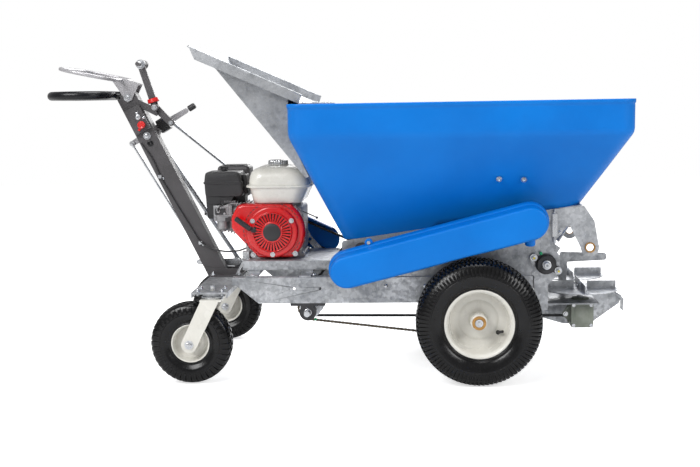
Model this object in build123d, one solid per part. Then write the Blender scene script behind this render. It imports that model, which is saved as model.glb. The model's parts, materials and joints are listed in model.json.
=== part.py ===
from build123d import *
import os
from math import acos, atan2, cos, hypot, pi, radians, sin, tan

# A walk-behind top dresser: a moulded hopper over a belt conveyor, on a two-rail frame with two driven wheels
# and two casters, an engine on the deck, a handle column behind it and two spinner discs in front.
# While the pieces are made, X = 0 and Z = 0 are the drive axle's plane and the ground, +X points to the discs
# and -Y is the side with the chain guard. The finished pieces are shifted so that the origin is on the ground
# below the middle of the whole machine.

# Driving dimensions, mm. Points are (x, z) pairs unless they have three numbers.
CLEARANCE = 0.05                    # radial running clearance of a shaft in its bore
GAP = 1.0                           # between pieces that pass each other
SHEET = 3.0                         # galvanised sheet and channel wall

# Wheels
AXLE_R = 12.7
TYRE_R = 203.0                      # drive tyre, 16 x 6.50-8
TYRE_W = 162.0
TRACK = 724.0                       # between the drive tyres' middle planes
BEAD_R = 103.0
CASTER_R = 134.7                    # caster tyre, 4.10/3.50-4
CASTER_W = 88.0
CASTER_BEAD_R = 58.0
CASTER_TRACK = 684.0
CASTER_TRAIL = 73.0
SWIVEL_X = -865.0
KINGPIN_R = 8.0
RACE_R = 32.0                       # swivel race
RACE_H = 9.0
FORK_T = 6.0
FORK_AXLE_R = 8.0

# Frame
FRAME_W = 500.0                     # over the rails' webs
RAIL_TOP = 331.0
RAIL_H = 88.0
RAIL_FLANGE = 40.0
RAIL_X = (-817.0, 185.0)
RAIL_HOLE_R = 4.5
RAIL_HOLE_RISE = 50.0               # above the rail's lower face
RAIL_HOLES_X = (-607.0, -520.0)
DECK_X = (-790.0, -478.0)
DECK_W = 360.0
DECK_TOP = 378.0
BELT_SLOT = 34.0                    # cut from the deck's far edge for the engine belt and its idler
CROSS_TOP = 305.0
CROSS_X = (-928.0, -810.0)
CROSS_PLATE = 6.0

# Hopper, tray and covers
HOPPER_X = (-603.0, 488.0)
HOPPER_W = 820.0
HOPPER_TOP = 906.0
SHOULDER_Z = 803.0
HOPPER_WALL = 6.0
HOPPER_CORNER = 48.0
THROAT_X = (-440.0, 343.0)
THROAT_Z = (453.0, 564.0)
TRAY_LOW = (-566.0, HOPPER_TOP + 1)  # inner end of the tray floor, on the hopper's rim
TRAY_HIGH = (-896.0, 1052.0)
TRAY_HALF = 366.0
TRAY_END_TOP = (-915.0, 1096.0)
TRAY_SIDE_TOP = (-556.0, 936.0)
TRAY_FOOT = 62.0
GUSSET_INSET = 60.0
GUARD_REAR_OFF = (19.0, 9.0)        # from the countershaft to the guard's rear round end
GUARD_FRONT_RISE = 18.6             # from the head roller to the guard's front round end
GUARD_R = 51.0
GUARD_Y = (-420.0, -326.0)
GUARD_DRAFT = 12.0
GUARD_WALL = 3.5
TYRE_ROOM = 16.0                    # from the tyre to the arch in the guard

# Conveyor, beater and spinners
ROLLER_R = 30.0
BELT_T = 4.0
HEAD_X = 165.0
TAIL_X = -380.0
GATE_X = 266.0
BEATER = (227.0, 370.0)
BEATER_R = 69.0
PADDLE_PITCH = 66.0
TAB_BORE = (371.0, 423.0)
TAB_BORE_R = 12.0
DISC_R = 124.0
DISC_Y = 150.0
DISC_X = 354.0
DISC_Z = 269.0
VANE_H = 26.0
SPINNER_SHAFT_DROP = 14.0            # from the drive axle down to the spinners' cross shaft
GEARBOX_HALF = 43.0                 # half the gearbox's height

# Power train
JACK_X = -563.0
JACK_RISE = 9.0                     # from the drive axle up to the jackshaft
COUNTER = (-440.0, 362.0)
CRANK = (-688.0, 474.0)
IDLER = (-534.0, 342.0)
IDLER_PIVOT = (-592.0, 408.0)
IDLER_R = 9.0
CHAIN_Y = -150.0                    # drive chain's plane
CONVEYOR_CHAIN_Y = -370.0
SPINNER_BELT_Y = -60.0
MAIN_BELT_Y = 190.0
JACK_BELT_Y = 165.0
CHAIN_T = 9.0
CHAIN_W = 8.0
V_BELT_T = 8.0
V_BELT_W = 10.0
BELT_ROOM = 4.0                     # between a belt and the rail that it passes
SHAFT_R = 10.0
AXLE_SPROCKET_R = 94.0
JACK_SPROCKET_R = 38.0
CONVEYOR_SPROCKET_R = 21.0
MAIN_PULLEY_R = 30.0
SMALL_PULLEY_R = 28.0
JACK_BELT_R = 32.0
SPINNER_JACK_R = 42.0
SPINNER_PULLEY_R = 24.0

# Handle column and controls
COLUMN_FOOT = (-905.0, 312.0)
COLUMN_HEAD = (-1212.0, 946.0)
COLUMN_DEPTH = 68.0
COLUMN_W = 50.0
HANDLE_X = (-1456.0, -1262.0)
HANDLE_Z = 947.0
HANDLE_R = 15.0
HANDLE_W = 320.0
HANDLE_CORNER = 90.0
NECK_END_X = -1236.0
BAIL_PIVOT = (-1205.0, 938.0)
BAIL_PIN_R = 6.0
BAIL_HALF = 190.0
BAIL_CORNER = 86.0
BAIL_R = 6.5
BAIL_START = (-1226.0, 1000.0)
BAIL_REACH = 184.0
BAIL_RISE = 40.0
LEVER_T = 6.0
CLUTCH_PIVOT = (-1111.0, 903.0)
CLUTCH_TIP = (-1158.0, 1054.0)
CLUTCH_TAIL = (-1058.0, 848.0)
CLUTCH_ROD_END = (-618.0, 446.0)
ROD_R = 4.5
DRIVE_PIVOT = (-1146.0, 817.0)
DRIVE_TIP = (-1021.0, 889.0)
DRIVE_TAIL = (-1219.0, 775.0)
DRIVE_LEVER_Y = 80.0
ARM_PIVOT = (-846.0, 342.0)
ARM_TIP = (-968.0, 344.0)
CABLE_R = 3.0
CABLE_POINTS = [
    (-1162, -31, 778),
    (-1122, -31, 725),
    (-1099, -31, 660),
    (-1063, -31, 598),
    (-1030, -31, 539),
    (-996, -32, 483),
    (-962, -33, 424),
    (-917, -38, 402),
    (-868, -48, 392),
    (-818, -60, 398),
    (-793, -62, 408),
]

# Engine
ENGINE_BACK_Y = 110.0
RECOIL_R = 84.0
FAN_OUTLINE = [
    (-831, 482),
    (-831, 524),
    (-809, 567),
    (-604, 567),
    (-573, 530),
    (-573, 420),
    (-612, 380),
    (-741, 380),
]
GRIP_START = (-757.0, -190.0, 487.0)
GRIP_END = (-808.0, -190.0, 525.0)
TANK_X = (-782.0, -560.0)
TANK_Y = (-148.0, 128.0)
TANK_Z = (570.0, 688.0)
CAP_AT = (-680.0, -16.0)            # filler cap, (x, y)


def block(x, y, z):
    """Box between (low, high) pairs."""
    size = [high - low for low, high in (x, y, z)]
    middle = [(low + high) / 2 for low, high in (x, y, z)]
    return Pos(*middle) * Box(*size)


def rod(start, end, radius):
    """Round bar between two points."""
    run = Vector(*end) - Vector(*start)
    return extrude(Plane(origin=start, z_dir=run) * Circle(radius), amount=run.length)


def across(centre, radius, y):
    """Cylinder along Y, centred on an (x, z) point."""
    return rod((centre[0], y[0], centre[1]), (centre[0], y[1], centre[1]), radius)


def ring(centre, outer, inner, y):
    return across(centre, outer, y) - across(centre, inner, (y[0] - GAP, y[1] + GAP))


def plate(points, y, corner=0):
    """Flat plate with an outline in XZ, its corners rounded."""
    outline = make_face(Polyline(*[(px, y[0], pz) for px, pz in points], close=True))
    made = extrude(outline, amount=y[1] - y[0], dir=(0, 1, 0))
    if corner:
        made = fillet(made.edges().filter_by(Axis.Y), corner)
    return made


def both_sides(piece):
    """The piece and its mirror image in the middle plane."""
    return [piece, mirror(piece, Plane.XZ)]


def wrapped(a, ra, b, rb, y):
    """Solid inside a tight loop round two circles in XZ."""
    lean = atan2(b[1] - a[1], b[0] - a[0])
    turn = acos((ra - rb) / hypot(b[0] - a[0], b[1] - a[1]))

    def on(centre, radius, angle):
        return (centre[0] + radius * cos(angle), y[0], centre[1] + radius * sin(angle))

    edges = [
        Line(on(a, ra, lean + turn), on(b, rb, lean + turn)),
        ThreePointArc(on(b, rb, lean + turn), on(b, rb, lean), on(b, rb, lean - turn)),
        Line(on(b, rb, lean - turn), on(a, ra, lean - turn)),
        ThreePointArc(on(a, ra, lean - turn), on(a, -ra, lean), on(a, ra, lean + turn)),
    ]
    return extrude(make_face(edges), amount=y[1] - y[0], dir=(0, 1, 0))


def loop(a, ra, b, rb, y, thickness):
    """Belt or chain round two pulleys of those radii."""
    inner = wrapped(a, ra, b, rb, (y[0] - GAP, y[1] + GAP))
    return wrapped(a, ra + thickness, b, rb + thickness, y) - inner


def round_loop(plane, length, width, corner, radius):
    """Closed round tube along a rounded rectangle."""
    path = (plane * RectangleRounded(length, width, corner)).wire()
    section = Plane(origin=path @ 0, z_dir=path % 0) * Circle(radius)
    return sweep(section, path=path)


def spun(profile, centre):
    """Solid of revolution about the Y axis through an (x, z) point, from (radius, y) points."""
    outline = make_face(Polyline(*[(r, y, 0) for r, y in profile], close=True))
    return Pos(centre[0], 0, centre[1]) * revolve(outline, Axis.Y, 360)


def slope_point(start, end, share):
    """Point that share of the way along a line in XZ."""
    return (start[0] + share * (end[0] - start[0]), start[1] + share * (end[1] - start[1]))


# Places that follow from the driving dimensions
AXLE = (0.0, TYRE_R)
JACK = (JACK_X, TYRE_R + JACK_RISE)
SPINNER_SHAFT_Z = TYRE_R - SPINNER_SHAFT_DROP
TILT = atan2(THROAT_Z[1] - THROAT_Z[0], THROAT_X[1] - THROAT_X[0])
RAIL_Y = FRAME_W / 2
RAIL_BOTTOM = RAIL_TOP - RAIL_H
RAIL_HOLE_Z = RAIL_BOTTOM + RAIL_HOLE_RISE
PLATE_Y = RAIL_Y - 2 * SHEET            # outer face of the conveyor side plates
THROAT_W = 2 * (PLATE_Y - 5)
BELT_HALF_W = PLATE_Y - 3 * SHEET
CASTER_AXLE = (SWIVEL_X - CASTER_TRAIL, CASTER_R)
FORK_TOP = CROSS_TOP - CROSS_PLATE - RACE_H - GAP
CARRIER_TOP = SPINNER_SHAFT_Z + GEARBOX_HALF + 4


def throat_z(x):
    """Height of the hopper's sloping bottom edge."""
    return THROAT_Z[0] + (x - THROAT_X[0]) * tan(TILT)


def roller_at(x):
    """Axis of a conveyor roller whose belt runs just below the hopper."""
    drop = (ROLLER_R + BELT_T + 2 * GAP) / cos(TILT)
    return (x, throat_z(x) - drop)


def column_point(share, off=0.0):
    """Point in XZ on the column's centre line, moved off to its front side."""
    px, pz = slope_point(COLUMN_FOOT, COLUMN_HEAD, share)
    run = hypot(COLUMN_HEAD[0] - COLUMN_FOOT[0], COLUMN_HEAD[1] - COLUMN_FOOT[1])
    nx = (COLUMN_HEAD[1] - COLUMN_FOOT[1]) / run
    nz = -(COLUMN_HEAD[0] - COLUMN_FOOT[0]) / run
    return (px + nx * off, pz + nz * off)


HEAD = roller_at(HEAD_X)
TAIL = roller_at(TAIL_X)
GUARD_A = (COUNTER[0] + GUARD_REAR_OFF[0], COUNTER[1] + GUARD_REAR_OFF[1])
GUARD_B = (HEAD[0], HEAD[1] + GUARD_FRONT_RISE)
STOP_KNOB = column_point(0.832, 8)


# Frame
def belt_room(a, ra, b, rb, y):
    """Room that a belt needs; it cuts a rail's flange only where a narrow frame brings the flange to the belt."""
    around = V_BELT_T + BELT_ROOM
    half = V_BELT_W / 2 + BELT_ROOM
    return wrapped(a, ra + around, b, rb + around, (y - half, y + half))


def frame_rails():
    web = block(RAIL_X, (RAIL_Y - SHEET, RAIL_Y), (RAIL_BOTTOM, RAIL_TOP))
    rail = web
    for low in (RAIL_BOTTOM, RAIL_TOP - SHEET):
        rail += block(RAIL_X, (RAIL_Y - RAIL_FLANGE, RAIL_Y), (low, low + SHEET))
    end_cut = [
        (RAIL_X[0] - GAP, RAIL_BOTTOM - GAP),
        (RAIL_X[0] + 92, RAIL_BOTTOM - GAP),
        (RAIL_X[0] + 86, RAIL_BOTTOM + SHEET),
        (RAIL_X[0] + 14, CROSS_TOP),
        (RAIL_X[0] - GAP, CROSS_TOP),
    ]
    rail -= plate(end_cut, (0, FRAME_W))
    for x in RAIL_HOLES_X:
        rail -= across((x, RAIL_HOLE_Z), RAIL_HOLE_R, (0, FRAME_W))
    far, near = both_sides(rail)
    far -= belt_room(CRANK, MAIN_PULLEY_R, COUNTER, MAIN_PULLEY_R, MAIN_BELT_Y)
    far -= belt_room(COUNTER, SMALL_PULLEY_R, JACK, JACK_BELT_R, JACK_BELT_Y)
    return [far, near]


def caster_crossmember():
    """Folded plate across the frame, with the casters' upper races below it and the traction arm's stub on it."""
    half = CASTER_TRACK / 2 + 45
    made = block(CROSS_X, (-half, half), (CROSS_TOP - CROSS_PLATE, CROSS_TOP))
    for x in (CROSS_X[0], CROSS_X[1] - SHEET):
        made += block((x, x + SHEET), (-half, half), (CROSS_TOP - 18, CROSS_TOP))
    bottom = CROSS_TOP - CROSS_PLATE
    for y in (-CASTER_TRACK / 2, CASTER_TRACK / 2):
        made += rod((SWIVEL_X, y, bottom - RACE_H), (SWIVEL_X, y, bottom + GAP), RACE_R)
        hole_low, hole_high = bottom - RACE_H - GAP, CROSS_TOP + GAP
        made -= rod((SWIVEL_X, y, hole_low), (SWIVEL_X, y, hole_high), KINGPIN_R + CLEARANCE)
    upright = (DRIVE_LEVER_Y - 18, DRIVE_LEVER_Y - 12)
    made += block((ARM_PIVOT[0] - 12, ARM_PIVOT[0] + 12), upright, (CROSS_TOP - GAP, ARM_PIVOT[1] + 14))
    return [made + across(ARM_PIVOT, 6, (DRIVE_LEVER_Y - 34, DRIVE_LEVER_Y - 14))]


def engine_deck():
    """Raised folded deck on two cross bars that lie on the rails."""
    half = DECK_W / 2
    lip = 32.0
    made = block(DECK_X, (-half, half), (DECK_TOP - SHEET, DECK_TOP))
    for y in (-half, half - SHEET):
        made += block(DECK_X, (y, y + SHEET), (DECK_TOP - lip, DECK_TOP))
    for x in (DECK_X[0] + 20, DECK_X[1] - 112):
        made += block((x, x + 40), (-RAIL_Y + 5, RAIL_Y - 5), (RAIL_TOP, RAIL_TOP + 5))
        made += block((x, x + 40), (-half + SHEET, half - BELT_SLOT), (RAIL_TOP, DECK_TOP))
    end = [(DECK_X[0] - 26, RAIL_TOP), (DECK_X[0] - 22, RAIL_TOP), (DECK_X[0] + 4, DECK_TOP - SHEET)]
    end += [(DECK_X[0] + 4, DECK_TOP), (DECK_X[0], DECK_TOP)]
    for y in (-half, half - 60):
        made += plate(end, (y, y + 60))
    slot_x = (IDLER_PIVOT[0] - 10, DECK_X[1] + GAP)
    made -= block(slot_x, (half - BELT_SLOT, half + GAP), (DECK_TOP - lip - GAP, DECK_TOP + GAP))
    return [made]


# Casters
def caster_fork(side):
    """Swivelling fork: raceway, crown plate, two raked legs, kingpin and axle bolt."""
    middle = side * CASTER_TRACK / 2
    centre = CASTER_AXLE
    inner = CASTER_W / 2 + 4
    outer = inner + FORK_T
    width = 26.0
    crown_z = CASTER_R * 2 + 6
    made = block((SWIVEL_X - 34, SWIVEL_X + 34), (middle - outer, middle + outer), (crown_z, crown_z + FORK_T))
    leg = [
        (SWIVEL_X - 30, crown_z + FORK_T),
        (SWIVEL_X + 30, crown_z + FORK_T),
        (centre[0] + width, centre[1] - 6),
        (centre[0] - width, centre[1] + 6),
    ]
    for y in (middle - outer, middle + inner):
        made += plate(leg, (y, y + FORK_T))
        made += across(centre, width, (y, y + FORK_T))
    made += rod((SWIVEL_X, middle, crown_z), (SWIVEL_X, middle, FORK_TOP), RACE_R - 3)
    made += rod((SWIVEL_X, middle, crown_z), (SWIVEL_X, middle, CROSS_TOP + 10), KINGPIN_R)
    made += across(centre, FORK_AXLE_R, (middle - outer - 6, middle + outer + 6))
    return [made]


def tyre(radius, width, bead, bead_width, centre, middle):
    """Open tyre carcass with a crowned tread and square shoulders."""
    wall = 9.0
    half = width / 2
    outer = [
        (bead, -bead_width / 2),
        (bead + 12, -bead_width / 2),
        (bead + 20, -half + 5),
        ((bead + radius) / 2, -half),
        (radius - 26, -half + 3),
        (radius - 7, -half + 20),
        (radius, -half + 44 * half / 81),
    ]
    outer += [(r, -y) for r, y in reversed(outer)]
    inner = [
        (bead, bead_width / 2 - wall),
        ((bead + radius) / 2, half - wall),
        (radius - 26, half - wall - 4),
        (radius - wall - 4, half - wall - 22),
    ]
    inner += [(r, -y) for r, y in reversed(inner)]
    return Pos(0, middle, 0) * spun(outer + inner, centre)


def rim(bead, width, bore, hub_r, disc_y, centre, middle, side):
    """Pressed rim: barrel, two flanges, dished disc and hub tube. disc_y is outwards from the middle plane."""
    wall = 3.0
    half = width / 2
    seat = bead - CLEARANCE
    barrel = [
        (seat - wall, -half),
        (seat + 10, -half),
        (seat + 10, -half + wall),
        (seat, -half + wall),
        (seat, half - wall),
        (seat + 10, half - wall),
        (seat + 10, half),
        (seat - wall, half),
    ]
    made = spun(barrel, centre)
    disc = [
        (hub_r - wall, disc_y),
        (seat * 0.62, disc_y),
        (seat - wall + 0.5, disc_y + side * 20),
        (seat - wall + 0.5, disc_y + side * 24),
        (seat * 0.60, disc_y + side * 4),
        (hub_r - wall, disc_y + side * 4),
    ]
    made += spun(disc, centre)
    made += across(centre, hub_r, (-half * 0.72, half * 0.72))
    made -= across(centre, bore, (-half - GAP, half + GAP))
    return Pos(0, middle, 0) * made


def caster_rim(side):
    return [
        rim(CASTER_BEAD_R, 70, FORK_AXLE_R + CLEARANCE, 17, 0, CASTER_AXLE, side * CASTER_TRACK / 2, side)
    ]


def caster_tyre(side):
    return [tyre(CASTER_R, CASTER_W, CASTER_BEAD_R, 62, CASTER_AXLE, side * CASTER_TRACK / 2)]


# Drive wheels and axle
def drive_axle():
    end = TRACK / 2 + 45
    return [across(AXLE, AXLE_R, (-end, end))]


def drive_rims():
    return [rim(BEAD_R, 126, AXLE_R + CLEARANCE, 26, s * -18, AXLE, s * TRACK / 2, s) for s in (-1, 1)]


def drive_tyres():
    return [tyre(TYRE_R, TYRE_W, BEAD_R, 118, AXLE, s * TRACK / 2) for s in (-1, 1)]


def sprocket(centre, radius, bore, y, width=6.0, hub=None):
    """Plain sprocket or pulley disc with a hub; the chain or belt stays GAP clear of its rim."""
    made = across(centre, radius - GAP, (y - width / 2, y + width / 2))
    made += across(centre, hub or bore + 12, (y - width / 2 - 12, y + width / 2))
    return made - across(centre, bore, (y - 60, y + 60))


def axle_sprocket():
    return [sprocket(AXLE, AXLE_SPROCKET_R, AXLE_R + CLEARANCE, CHAIN_Y)]


# Shafts of the power train: each shaft is one body with what is keyed to it
def jackshaft():
    made = across(JACK, SHAFT_R, (-282, 262))
    made += across(JACK, JACK_SPROCKET_R - GAP, (CHAIN_Y - 3, CHAIN_Y + 3))
    made += across(JACK, SPINNER_JACK_R - GAP, (SPINNER_BELT_Y - 5, SPINNER_BELT_Y + 5))
    made += across(JACK, JACK_BELT_R - GAP, (JACK_BELT_Y - 5, JACK_BELT_Y + 5))
    return [made]


def countershaft():
    made = across(COUNTER, SHAFT_R, (CONVEYOR_CHAIN_Y - 8, PLATE_Y + 20))
    made += across(COUNTER, CONVEYOR_SPROCKET_R - GAP, (CONVEYOR_CHAIN_Y - 3, CONVEYOR_CHAIN_Y + 3))
    made += across(COUNTER, MAIN_PULLEY_R - GAP, (MAIN_BELT_Y - 5, MAIN_BELT_Y + 5))
    made += across(COUNTER, SMALL_PULLEY_R - GAP, (JACK_BELT_Y - 5, JACK_BELT_Y + 5))
    return [made]


def crankshaft():
    made = across(CRANK, SHAFT_R, (ENGINE_BACK_Y - 60, MAIN_BELT_Y + 12))
    made += across(CRANK, MAIN_PULLEY_R - GAP, (MAIN_BELT_Y - 5, MAIN_BELT_Y + 5))
    return [made]


def roller(centre, shaft_y):
    made = across(centre, ROLLER_R - GAP, (-BELT_HALF_W, BELT_HALF_W))
    return made + across(centre, SHAFT_R, shaft_y)


def head_roller():
    made = roller(HEAD, (CONVEYOR_CHAIN_Y - 8, PLATE_Y + 20))
    made += across(HEAD, CONVEYOR_SPROCKET_R - GAP, (CONVEYOR_CHAIN_Y - 3, CONVEYOR_CHAIN_Y + 3))
    return [made]


def tail_roller():
    return [roller(TAIL, (-PLATE_Y - 20, PLATE_Y + 20))]


def beater():
    """Rotor that throws the material down on the discs: a tube with rows of paddles."""
    made = across(BEATER, SHAFT_R, (-PLATE_Y - 42, PLATE_Y + 42))
    made += across(BEATER, 20, (-BELT_HALF_W + 6, BELT_HALF_W - 6))
    rows = int((BELT_HALF_W - 16) / PADDLE_PITCH)
    for row in range(-rows, rows + 1):
        y = row * PADDLE_PITCH
        for turn in (0, 180):
            paddle = block((-18, 18), (y - 2, y + 2), (15, BEATER_R))
            paddle = Pos(BEATER[0], 0, BEATER[1]) * Rot(0, turn + 90 * ((row + 1) % 2) + 35, 0) * paddle
            made += paddle
    return [made]


def cross_shaft():
    """Shaft between the two gearboxes with its pulley and bevel pinions."""
    line = (DISC_X, SPINNER_SHAFT_Z)
    made = across(line, 8, (-DISC_Y - 26, DISC_Y + 26))
    made += across(line, SPINNER_PULLEY_R - GAP, (SPINNER_BELT_Y - 5, SPINNER_BELT_Y + 5))
    for side in (-1, 1):
        y = side * (DISC_Y + 18)
        made += across(line, 15, (min(y, y + side * 6), max(y, y + side * 6)))
    return [made]


def spinner(side):
    """Disc with four upright vanes on its gearbox output shaft, which ends above the cross shaft."""
    y = side * DISC_Y
    made = rod((DISC_X, y, DISC_Z), (DISC_X, y, DISC_Z + SHEET), DISC_R)
    made += rod((DISC_X, y, SPINNER_SHAFT_Z + 16), (DISC_X, y, DISC_Z + 14), 10)
    for turn in range(4):
        vane = block((22, DISC_R - 6), (-1.5, 1.5), (DISC_Z + SHEET - 0.5, DISC_Z + SHEET + VANE_H))
        vane += block((22, DISC_R - 6), (-1.5, 12), (DISC_Z + SHEET - 0.5, DISC_Z + SHEET + 2))
        made += Pos(DISC_X, y, 0) * Rot(0, 0, 90 * turn) * vane
    return [made]


def gearboxes():
    """Square cast housings, open inside for the bevel gears, hung below the carrier."""
    boxes = []
    for side in (-1, 1):
        y = side * DISC_Y
        x = (DISC_X - 38, DISC_X + 38)
        z = (SPINNER_SHAFT_Z - GEARBOX_HALF, SPINNER_SHAFT_Z + GEARBOX_HALF)
        body = fillet(block(x, (y - 48, y + 48), z).edges().filter_by(Axis.Y), 8)
        wall = 7.0
        body -= block((x[0] + wall, x[1] - wall), (y - 48 + wall, y + 48 - wall), (z[0] + wall, z[1] - wall))
        body -= rod((DISC_X, y, SPINNER_SHAFT_Z), (DISC_X, y, z[1] + GAP), 10 + CLEARANCE)
        inner = (min(0, y), max(0, y))
        body -= across((DISC_X, SPINNER_SHAFT_Z), 8 + CLEARANCE, inner)
        boxes.append(body)
    return boxes


def spinner_carrier():
    """Plate under the discs with a rear flange, a keel between the gearboxes, a divider above it and an end hook."""
    top = CARRIER_TOP
    reach = PLATE_Y - SHEET - 2
    back = BEATER[0] - 6
    made = block((back, DISC_X + 50), (-reach, reach), (top - 4, top))
    made += block((back, back + 4), (-reach, reach), (top - 4, DISC_Z + 21))
    keel = [
        (back, top),
        (back, 149),
        (DISC_X - 36, 120),
        (DISC_X + 60, 123),
        (DISC_X + 156, 192),
        (DISC_X + 166, 219),
        (DISC_X + 140, top),
    ]
    made += plate(keel, (-2, 2))
    post = BEATER[0] + BEATER_R + 4
    divider = [
        (post, top - 1),
        (post, 348),
        (post + 6, 376),
        (DISC_X + 104, 372),
        (DISC_X + 112, 366),
        (DISC_X + 112, 352),
        (DISC_X + 106, 346),
        (post + 30, 340),
        (post + 26, top - 1),
    ]
    made += plate(divider, (-1.5, 1.5))
    hook = [(478, top), (483, top), (524, 212), (522, 170), (518, 170), (519, 208)]
    made += plate(hook, (-20, 20))
    for side in (-1, 1):
        made -= rod((DISC_X, side * DISC_Y, 0), (DISC_X, side * DISC_Y, DISC_Z), 16)
    made -= across((DISC_X, SPINNER_SHAFT_Z), 12, (-10, 10))
    return [made]


def side_plate(y):
    tab_r = 30.0
    outline = [
        (TAIL[0] - 65, RAIL_TOP),
        (TAIL[0] - 65, throat_z(THROAT_X[0]) - 8),
        (THROAT_X[0], throat_z(THROAT_X[0]) - GAP),
        (100, throat_z(100) - GAP),
        (204, throat_z(204) - GAP),
        (351, THROAT_Z[1] - 4),
        (385, 510),
        (TAB_BORE[0] + tab_r, TAB_BORE[1]),
        (TAB_BORE[0] - tab_r, TAB_BORE[1]),
        (303, 499),
        (244, 430),
        (275, 395),
        (270, 335),
        (BEATER[0] + 8, 300),
        (BEATER[0] + 8, 214),
        (189, 214),
        (189, RAIL_TOP),
    ]
    made = plate(outline, y) + across(TAB_BORE, tab_r, y)
    made -= across(TAB_BORE, TAB_BORE_R, (y[0] - GAP, y[1] + GAP))
    for centre in (HEAD, TAIL, COUNTER, BEATER):
        made -= across(centre, SHAFT_R + 2, (y[0] - GAP, y[1] + GAP))
    return made


def side_plates():
    """Conveyor side plates with the chain guard's stays, tied by the hopper's floor sheet and a deflector."""
    made = side_plate((PLATE_Y - SHEET, PLATE_Y)) + side_plate((-PLATE_Y, -PLATE_Y + SHEET))
    reach = PLATE_Y - 1
    floor = [(GATE_X, throat_z(GATE_X) - GAP - SHEET), (GATE_X, throat_z(GATE_X) - GAP)]
    floor += [(345, throat_z(345) - GAP), (345, throat_z(345) - GAP - SHEET)]
    made += plate(floor, (-reach, reach))
    made += plate([(303, 499), (306, 496), (270, 440), (267, 443)], (-reach, reach))
    for share in (0.28, 0.72):
        made += across(slope_point(COUNTER, HEAD, share), 6, (GUARD_Y[0] + GUARD_WALL, -PLATE_Y + GAP))
    return [made]


def metering_gate():
    """Sliding plate below the floor sheet that narrows the outlet in front of the conveyor."""
    low = throat_z(GATE_X + 6) - 2 * SHEET - 2 * GAP
    run = 70.0
    rise = run * tan(TILT)
    ends = [(GATE_X + 6, low), (GATE_X + 6, low + SHEET), (GATE_X + 6 + run, low + rise + SHEET)]
    ends += [(GATE_X + 6 + run, low + rise)]
    return [plate(ends, (-BELT_HALF_W, BELT_HALF_W))]


def flange_bearing(centre, y, side, bore):
    """Two-bolt flange unit on a plate whose outer face is at y."""
    thick = (min(y, y + side * 12), max(y, y + side * 12))
    nose = (min(y, y + side * 30), max(y, y + side * 30))
    made = wrapped((centre[0] - 40, centre[1] + 22), 12, (centre[0] + 40, centre[1] - 22), 12, thick)
    made += across(centre, 34, thick)
    made += across(centre, 29, nose)
    return made - across(centre, bore, (nose[0] - GAP, nose[1] + GAP))


def pillow_bearing(centre, y, bore):
    """Pillow unit hung below the rail, its foot against the bottom flange."""
    foot = block((centre[0] - 58, centre[0] + 58), (y - 15, y + 15), (RAIL_BOTTOM - 9, RAIL_BOTTOM))
    made = foot + across(centre, bore + 18, (y - 14, y + 14))
    made += block((centre[0] - 24, centre[0] + 24), (y - 11, y + 11), (centre[1], RAIL_BOTTOM))
    return made - across(centre, bore, (y - 30, y + 30))


def shaft_bearings():
    """Pillow units under the rails, flange units and round bush housings on the side plates."""
    made = []
    for side in (-1, 1):
        made.append(pillow_bearing(JACK, side * (RAIL_Y - 16), SHAFT_R + CLEARANCE))
        made.append(pillow_bearing(AXLE, side * (RAIL_Y - 16), AXLE_R + CLEARANCE))
        for centre in (HEAD, BEATER):
            made.append(flange_bearing(centre, side * PLATE_Y, side, SHAFT_R + CLEARANCE))
        y = (side * PLATE_Y, side * (PLATE_Y + 14))
        for centre in (TAIL, COUNTER):
            made.append(ring(centre, 22, SHAFT_R + CLEARANCE, (min(y), max(y))))
    return made


def conveyor_belt():
    return [loop(TAIL, ROLLER_R, HEAD, ROLLER_R, (-BELT_HALF_W, BELT_HALF_W), BELT_T)]


def belt(a, ra, b, rb, y):
    return [loop(a, ra, b, rb, (y - V_BELT_W / 2, y + V_BELT_W / 2), V_BELT_T)]


def drive_chain():
    y = (CHAIN_Y - CHAIN_W / 2, CHAIN_Y + CHAIN_W / 2)
    return [loop(JACK, JACK_SPROCKET_R, AXLE, AXLE_SPROCKET_R, y, CHAIN_T)]


def conveyor_chain():
    y = (CONVEYOR_CHAIN_Y - CHAIN_W / 2, CONVEYOR_CHAIN_Y + CHAIN_W / 2)
    return [loop(COUNTER, CONVEYOR_SPROCKET_R, HEAD, CONVEYOR_SPROCKET_R, y, CHAIN_T)]


def idler_arm():
    """Arm that carries the belt idler and turns on a stub from the engine side."""
    y = (MAIN_BELT_Y - 16, MAIN_BELT_Y - 11)
    made = wrapped(IDLER_PIVOT, 11, IDLER, 11, y)
    made += across(IDLER, 5, (y[0], MAIN_BELT_Y + 9))
    up = (IDLER_PIVOT[0] - 16, IDLER_PIVOT[1] + 34)
    made += wrapped(IDLER_PIVOT, 9, up, 9, y)
    return [made - across(IDLER_PIVOT, 6 + CLEARANCE, (y[0] - GAP, y[1] + GAP))]


def idler_roller():
    return [ring(IDLER, IDLER_R, 5 + CLEARANCE, (MAIN_BELT_Y - 8, MAIN_BELT_Y + 8))]


# Hopper, tray and covers
def hopper_outline(z, inset, flare=0.0):
    """Rounded rectangle of the band; flare widens it."""
    length = HOPPER_X[1] - HOPPER_X[0] - 2 * inset + 2 * flare
    width = HOPPER_W - 2 * inset + 2 * flare
    middle = (HOPPER_X[0] + HOPPER_X[1]) / 2
    return Pos(middle, 0, z) * RectangleRounded(length, width, HOPPER_CORNER - inset)


def throat_outline(inset):
    length = (THROAT_X[1] - THROAT_X[0]) / cos(TILT) - 2 * inset
    middle = (THROAT_X[0] + THROAT_X[1]) / 2
    plane = Plane(
        origin=(middle, 0, throat_z(middle)),
        x_dir=(cos(TILT), 0, sin(TILT)),
        z_dir=(-sin(TILT), 0, cos(TILT)),
    )
    return plane * RectangleRounded(length, THROAT_W - 2 * inset, HOPPER_CORNER - inset)


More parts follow.
